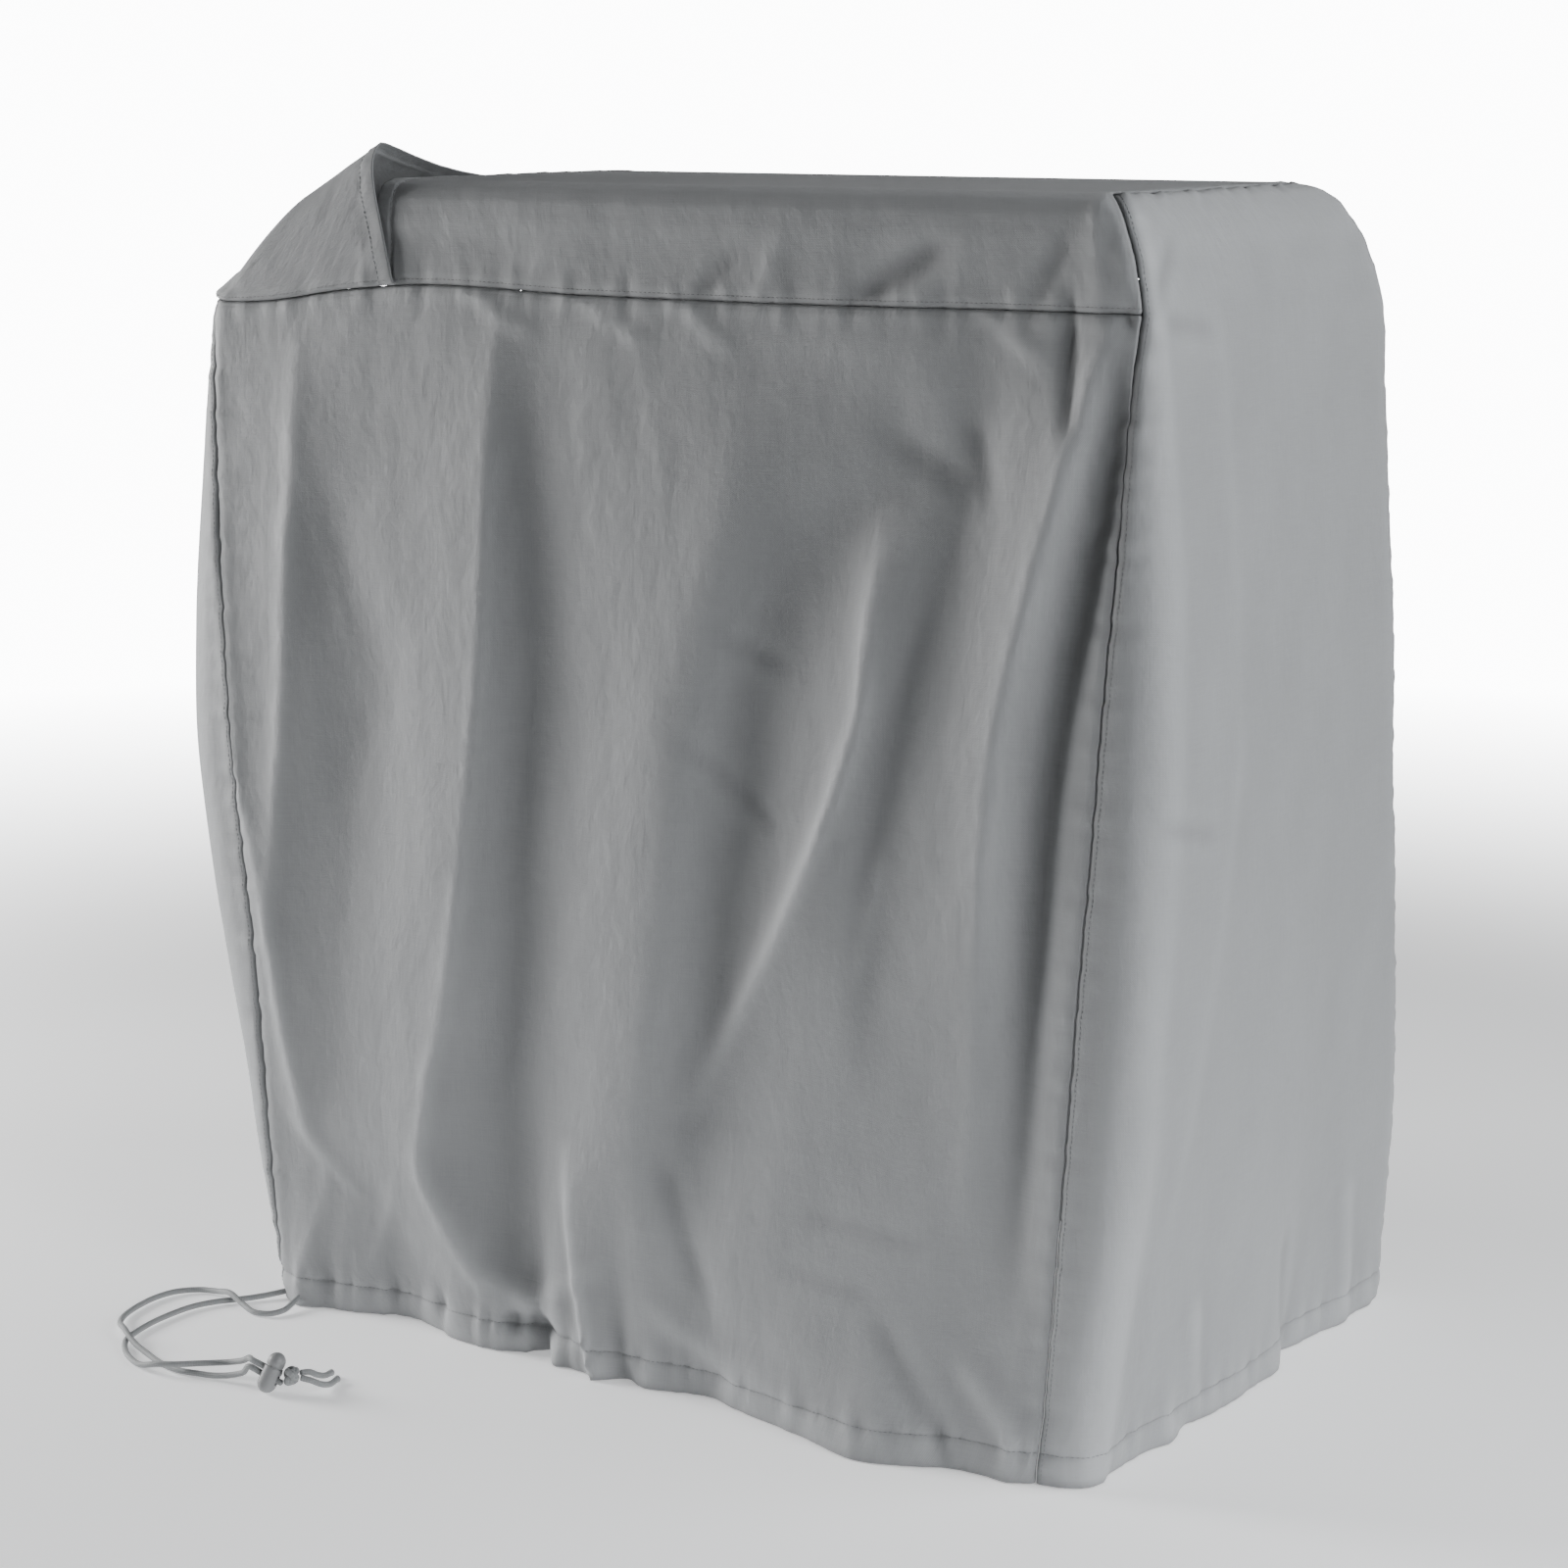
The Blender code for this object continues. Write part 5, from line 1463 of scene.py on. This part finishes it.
def turned_surface(name, profile, count=96):
    """A surface turned round the upright through the cover; profile holds radius and height."""
    points, faces = [], []
    if profile[0][0] == 0.0:
        points = [(0.0, 0.0, profile[0][1])]
        faces = [(0, 1 + index, 1 + (index + 1) % count) for index in range(count)]
        profile = profile[1:]
    first = len(points)
    for radius, height in profile:
        for index in range(count):
            angle = index * 2 * math.pi / count
            points.append((radius * math.cos(angle), radius * math.sin(angle), height))
    rings = grid_faces(len(profile), count, wrap=True)
    faces += [tuple(corner + first for corner in reversed(face)) for face in rings]
    return plain_mesh(name, points, faces)


def studio_floor(name):
    """The round floor under the cover."""
    return turned_surface(name, [(0.0, FLOOR_DROP), (1.0, FLOOR_DROP), (FLOOR_RADIUS, FLOOR_DROP)])


def studio_wall(name):
    """The far floor, which curves up into a wall all round; it only closes the picture."""
    profile = [(FLOOR_RADIUS, FLOOR_DROP), (8.0, FLOOR_DROP)]
    for step in range(1, 13):
        angle = step * math.pi / 24
        profile.append((8.0 + 3.0 * math.sin(angle), 3.0 - 3.0 * math.cos(angle)))
    profile.append((11.0, 9.0))
    wall = turned_surface(name, profile)
    wall.visible_diffuse = False
    wall.visible_glossy = False
    return wall


FLOOR_DROP = -0.0002
FLOOR_RADIUS = 1.3
WALL_FADE = 2.2
GLOW_COLOUR = (0.985, 0.99, 1.0)

# Studio lights: place and aim in the cover's own frame
LIGHTS = (
    # name, place, aim, size, power, colour
    ("left low light", (-2.4, -0.75, -0.2), (-0.3, -0.23, -0.5), 0.9, 87.2, (1.0, 0.995, 0.99)),
    ("right high light", (2.8, 0.9, 1.3), (0.3, 0.0, -0.4), 2.2, 69.1, (0.97, 0.985, 1.0)),
    ("right low light", (2.6, -0.7, 0.1), (0.3, 0.0, -0.6), 1.4, 48.9, (0.97, 0.985, 1.0)),
    ("top light", (0.0, 0.3, 2.6), (0.0, 0.0, 0.0), 2.0, 0.1, (1.0, 1.0, 1.0)),
)


class CoverSizes(bpy.types.PropertyGroup):
    """Sizes and colours of the cover's cloth, thread and drawstring."""
    cell: bpy.props.FloatProperty(
        name="Mesh cell", description="Size of one face of the cloth", default=0.0052, unit="LENGTH")
    cloth_thickness: bpy.props.FloatProperty(
        name="Cloth thickness", description="Thickness of the cloth", default=0.0012, unit="LENGTH")
    yarn_pitch: bpy.props.FloatProperty(
        name="Yarn pitch", description="Two yarns of the weave", default=0.0014, unit="LENGTH")
    pucker_depth: bpy.props.FloatProperty(
        name="Seam puckers", description="Depth of the ripple along sewn seams", default=0.0013, unit="LENGTH")
    gather_depth: bpy.props.FloatProperty(
        name="Hem gathers", description="Depth of the ripple at the hem", default=0.0026, unit="LENGTH")
    stitch_pitch: bpy.props.FloatProperty(
        name="Stitch pitch", description="Distance from stitch to stitch", default=0.0042, unit="LENGTH")
    stitch_length: bpy.props.FloatProperty(
        name="Stitch length", description="Visible length of one stitch", default=0.0031, unit="LENGTH")
    thread_thickness: bpy.props.FloatProperty(
        name="Thread", description="Thickness of the sewing thread", default=0.0006, unit="LENGTH")
    cord_diameter: bpy.props.FloatProperty(
        name="Cord diameter", description="Diameter of the drawstring", default=0.0054, unit="LENGTH")
    cloth_colour: bpy.props.FloatVectorProperty(
        name="Cloth colour", description="Grey of the cloth", subtype="COLOR", default=(0.300, 0.308, 0.316))
    thread_colour: bpy.props.FloatVectorProperty(
        name="Thread colour", description="Grey of the stitching", subtype="COLOR", default=(0.22, 0.225, 0.23))
    cord_colour: bpy.props.FloatVectorProperty(
        name="Cord colour", description="Grey of the drawstring", subtype="COLOR", default=(0.31, 0.32, 0.325))
    lock_colour: bpy.props.FloatVectorProperty(
        name="Lock colour", description="Grey of the cord lock", subtype="COLOR", default=(0.27, 0.275, 0.28))


class StudioSettings(bpy.types.PropertyGroup):
    """Camera, lights and floor."""
    lens: bpy.props.FloatProperty(name="Lens", description="Focal length", default=80.52, unit="CAMERA")
    pitch: bpy.props.FloatProperty(
        name="Pitch", description="How far the camera looks down", default=math.radians(11.393), subtype="ANGLE")
    azimuth: bpy.props.FloatProperty(
        name="Azimuth", description="How far the camera is turned round", default=math.radians(32.961),
        subtype="ANGLE")
    place: bpy.props.FloatVectorProperty(
        name="Place", description="Place of the camera", subtype="TRANSLATION",
        default=(1.62610, -2.51447, 0.0818))
    surround: bpy.props.FloatProperty(
        name="Surround", description="Strength of the light from all round", default=0.02, min=0.0)
    floor_glow: bpy.props.FloatProperty(
        name="Floor glow", description="Light that the floor gives off", default=0.45, min=0.0)
    wall_glow: bpy.props.FloatProperty(
        name="Wall glow", description="Brightness of the wall behind", default=12.0, min=0.0)
    floor_colour: bpy.props.FloatVectorProperty(
        name="Floor colour", description="Pale floor", subtype="COLOR", default=(0.88, 0.885, 0.89))


class COVER_OT_studio(bpy.types.Operator):
    """Camera, soft lights and the pale floor"""
    bl_idname = "cover.studio"
    bl_label = "Studio"

    def execute(self, context):
        settings = context.scene.hose_studio
        lens = bpy.data.cameras.new("camera")
        lens.lens = settings.lens
        lens.sensor_width = 36.0
        lens.clip_end = 200.0
        camera = bpy.data.objects.new("camera", lens)
        camera.location = settings.place
        camera.rotation_euler = (math.pi / 2 - settings.pitch, 0.0, settings.azimuth)
        context.scene.collection.objects.link(camera)
        context.scene.camera = camera
        for name, place, aim, size, power, colour in LIGHTS:
            soft_light(name, place, aim, size, power, colour)
        world = bpy.data.worlds.new("pale surround")
        world.use_nodes = True
        background = world.node_tree.nodes["Background"]
        background.inputs["Color"].default_value = (0.98, 0.985, 1.0, 1.0)
        background.inputs["Strength"].default_value = settings.surround
        context.scene.world = world
        floor = studio_floor("pale_floor")
        floor.data.materials.append(ready("pale floor", floor_material, settings.floor_colour))
        wall = studio_wall("pale_wall")
        wall.data.materials.append(ready("pale wall", wall_material, settings.floor_colour))
        return {"FINISHED"}


class COVER_OT_skirt(bpy.types.Operator):
    """Front, right, back and left panels with their hem channel"""
    bl_idname = "cover.skirt"
    bl_label = "Skirt panels"

    def execute(self, context):
        for piece in ("front_cloth", "right_side_cloth", "back_cloth", "left_side_cloth"):
            lay_cloth(piece)
        return {"FINISHED"}


class COVER_OT_top(bpy.types.Operator):
    """Top panel with its drops, and the vent hood"""
    bl_idname = "cover.top"
    bl_label = "Top and vent hood"

    def execute(self, context):
        for piece in ("top_cloth", "vent_hood_cloth"):
            lay_cloth(piece)
        return {"FINISHED"}


class COVER_OT_stitching(bpy.types.Operator):
    """All visible rows of stitches"""
    bl_idname = "cover.stitching"
    bl_label = "Stitching"

    def execute(self, context):
        paths = [stitch_path(piece, edge, away) for piece, edge, away in STITCH_LINES]
        rows = stitched_mesh("stitching", paths)
        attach(rows, "root")
        return {"FINISHED"}


class COVER_OT_fittings(bpy.types.Operator):
    """Cord lock and knot"""
    bl_idname = "cover.fittings"
    bl_label = "Cord lock and knot"

    def execute(self, context):
        sizes = context.scene.hose_cover
        lock = turned_lock("barrel_lock")
        lock.data.materials.clear()
        lock.data.materials.append(ready("cord lock plastic", lock_material, sizes.lock_colour))
        knot = tied_knot("overhand_knot")
        for obj, node, slot in ((lock, "cord_lock", "cord_lock"), (knot, "cord_knot", "cord")):
            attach(obj, "root")
            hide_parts(node)
        return {"FINISHED"}


class COVER_OT_drawstring(bpy.types.Operator):
    """Both strands of the drawstring and its two free ends"""
    bl_idname = "cover.drawstring"
    bl_label = "Drawstring"

    def execute(self, context):
        sizes = context.scene.hose_cover
        tips = frayed_tips("frayed_tips")
        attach(tips, "root")
        for piece, (node, route, length, end, flare) in STRANDS.items():
            path = smooth_route(route, 0.00072)
            strand = braid_tube(piece, path, sizes.cord_diameter / 2, 24, 0.0044, flare)
            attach(strand, "root")
            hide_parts(node)
        return {"FINISHED"}


class COVER_PT_panel(bpy.types.Panel):
    """Sidebar panel that lists the pieces"""
    bl_idname = "COVER_PT_panel"
    bl_label = "Hose reel cover"
    bl_space_type = "VIEW_3D"
    bl_region_type = "UI"
    bl_category = "Cover"

    def draw(self, context):
        for settings in (context.scene.hose_cover, context.scene.hose_studio):
            for name in settings.bl_rna.properties.keys():
                if name not in ("rna_type", "name"):
                    self.layout.prop(settings, name)
        for operator in STEPS:
            self.layout.operator(operator.bl_idname)


STEPS = (COVER_OT_studio, COVER_OT_fittings, COVER_OT_drawstring, COVER_OT_skirt, COVER_OT_top,
         COVER_OT_stitching)
CLASSES = (CoverSizes, StudioSettings) + STEPS + (COVER_PT_panel,)


def register():
    for made in CLASSES:
        bpy.utils.register_class(made)
    bpy.types.Scene.hose_cover = bpy.props.PointerProperty(type=CoverSizes)
    bpy.types.Scene.hose_studio = bpy.props.PointerProperty(type=StudioSettings)


def unregister():
    del bpy.types.Scene.hose_studio
    del bpy.types.Scene.hose_cover
    for made in reversed(CLASSES):
        bpy.utils.unregister_class(made)


def main():
    register()
    bpy.ops.cover.studio()
    bpy.ops.cover.fittings()
    bpy.ops.cover.drawstring()
    bpy.ops.cover.skirt()
    bpy.ops.cover.top()
    bpy.ops.cover.stitching()


if __name__ == "__main__":
    main()
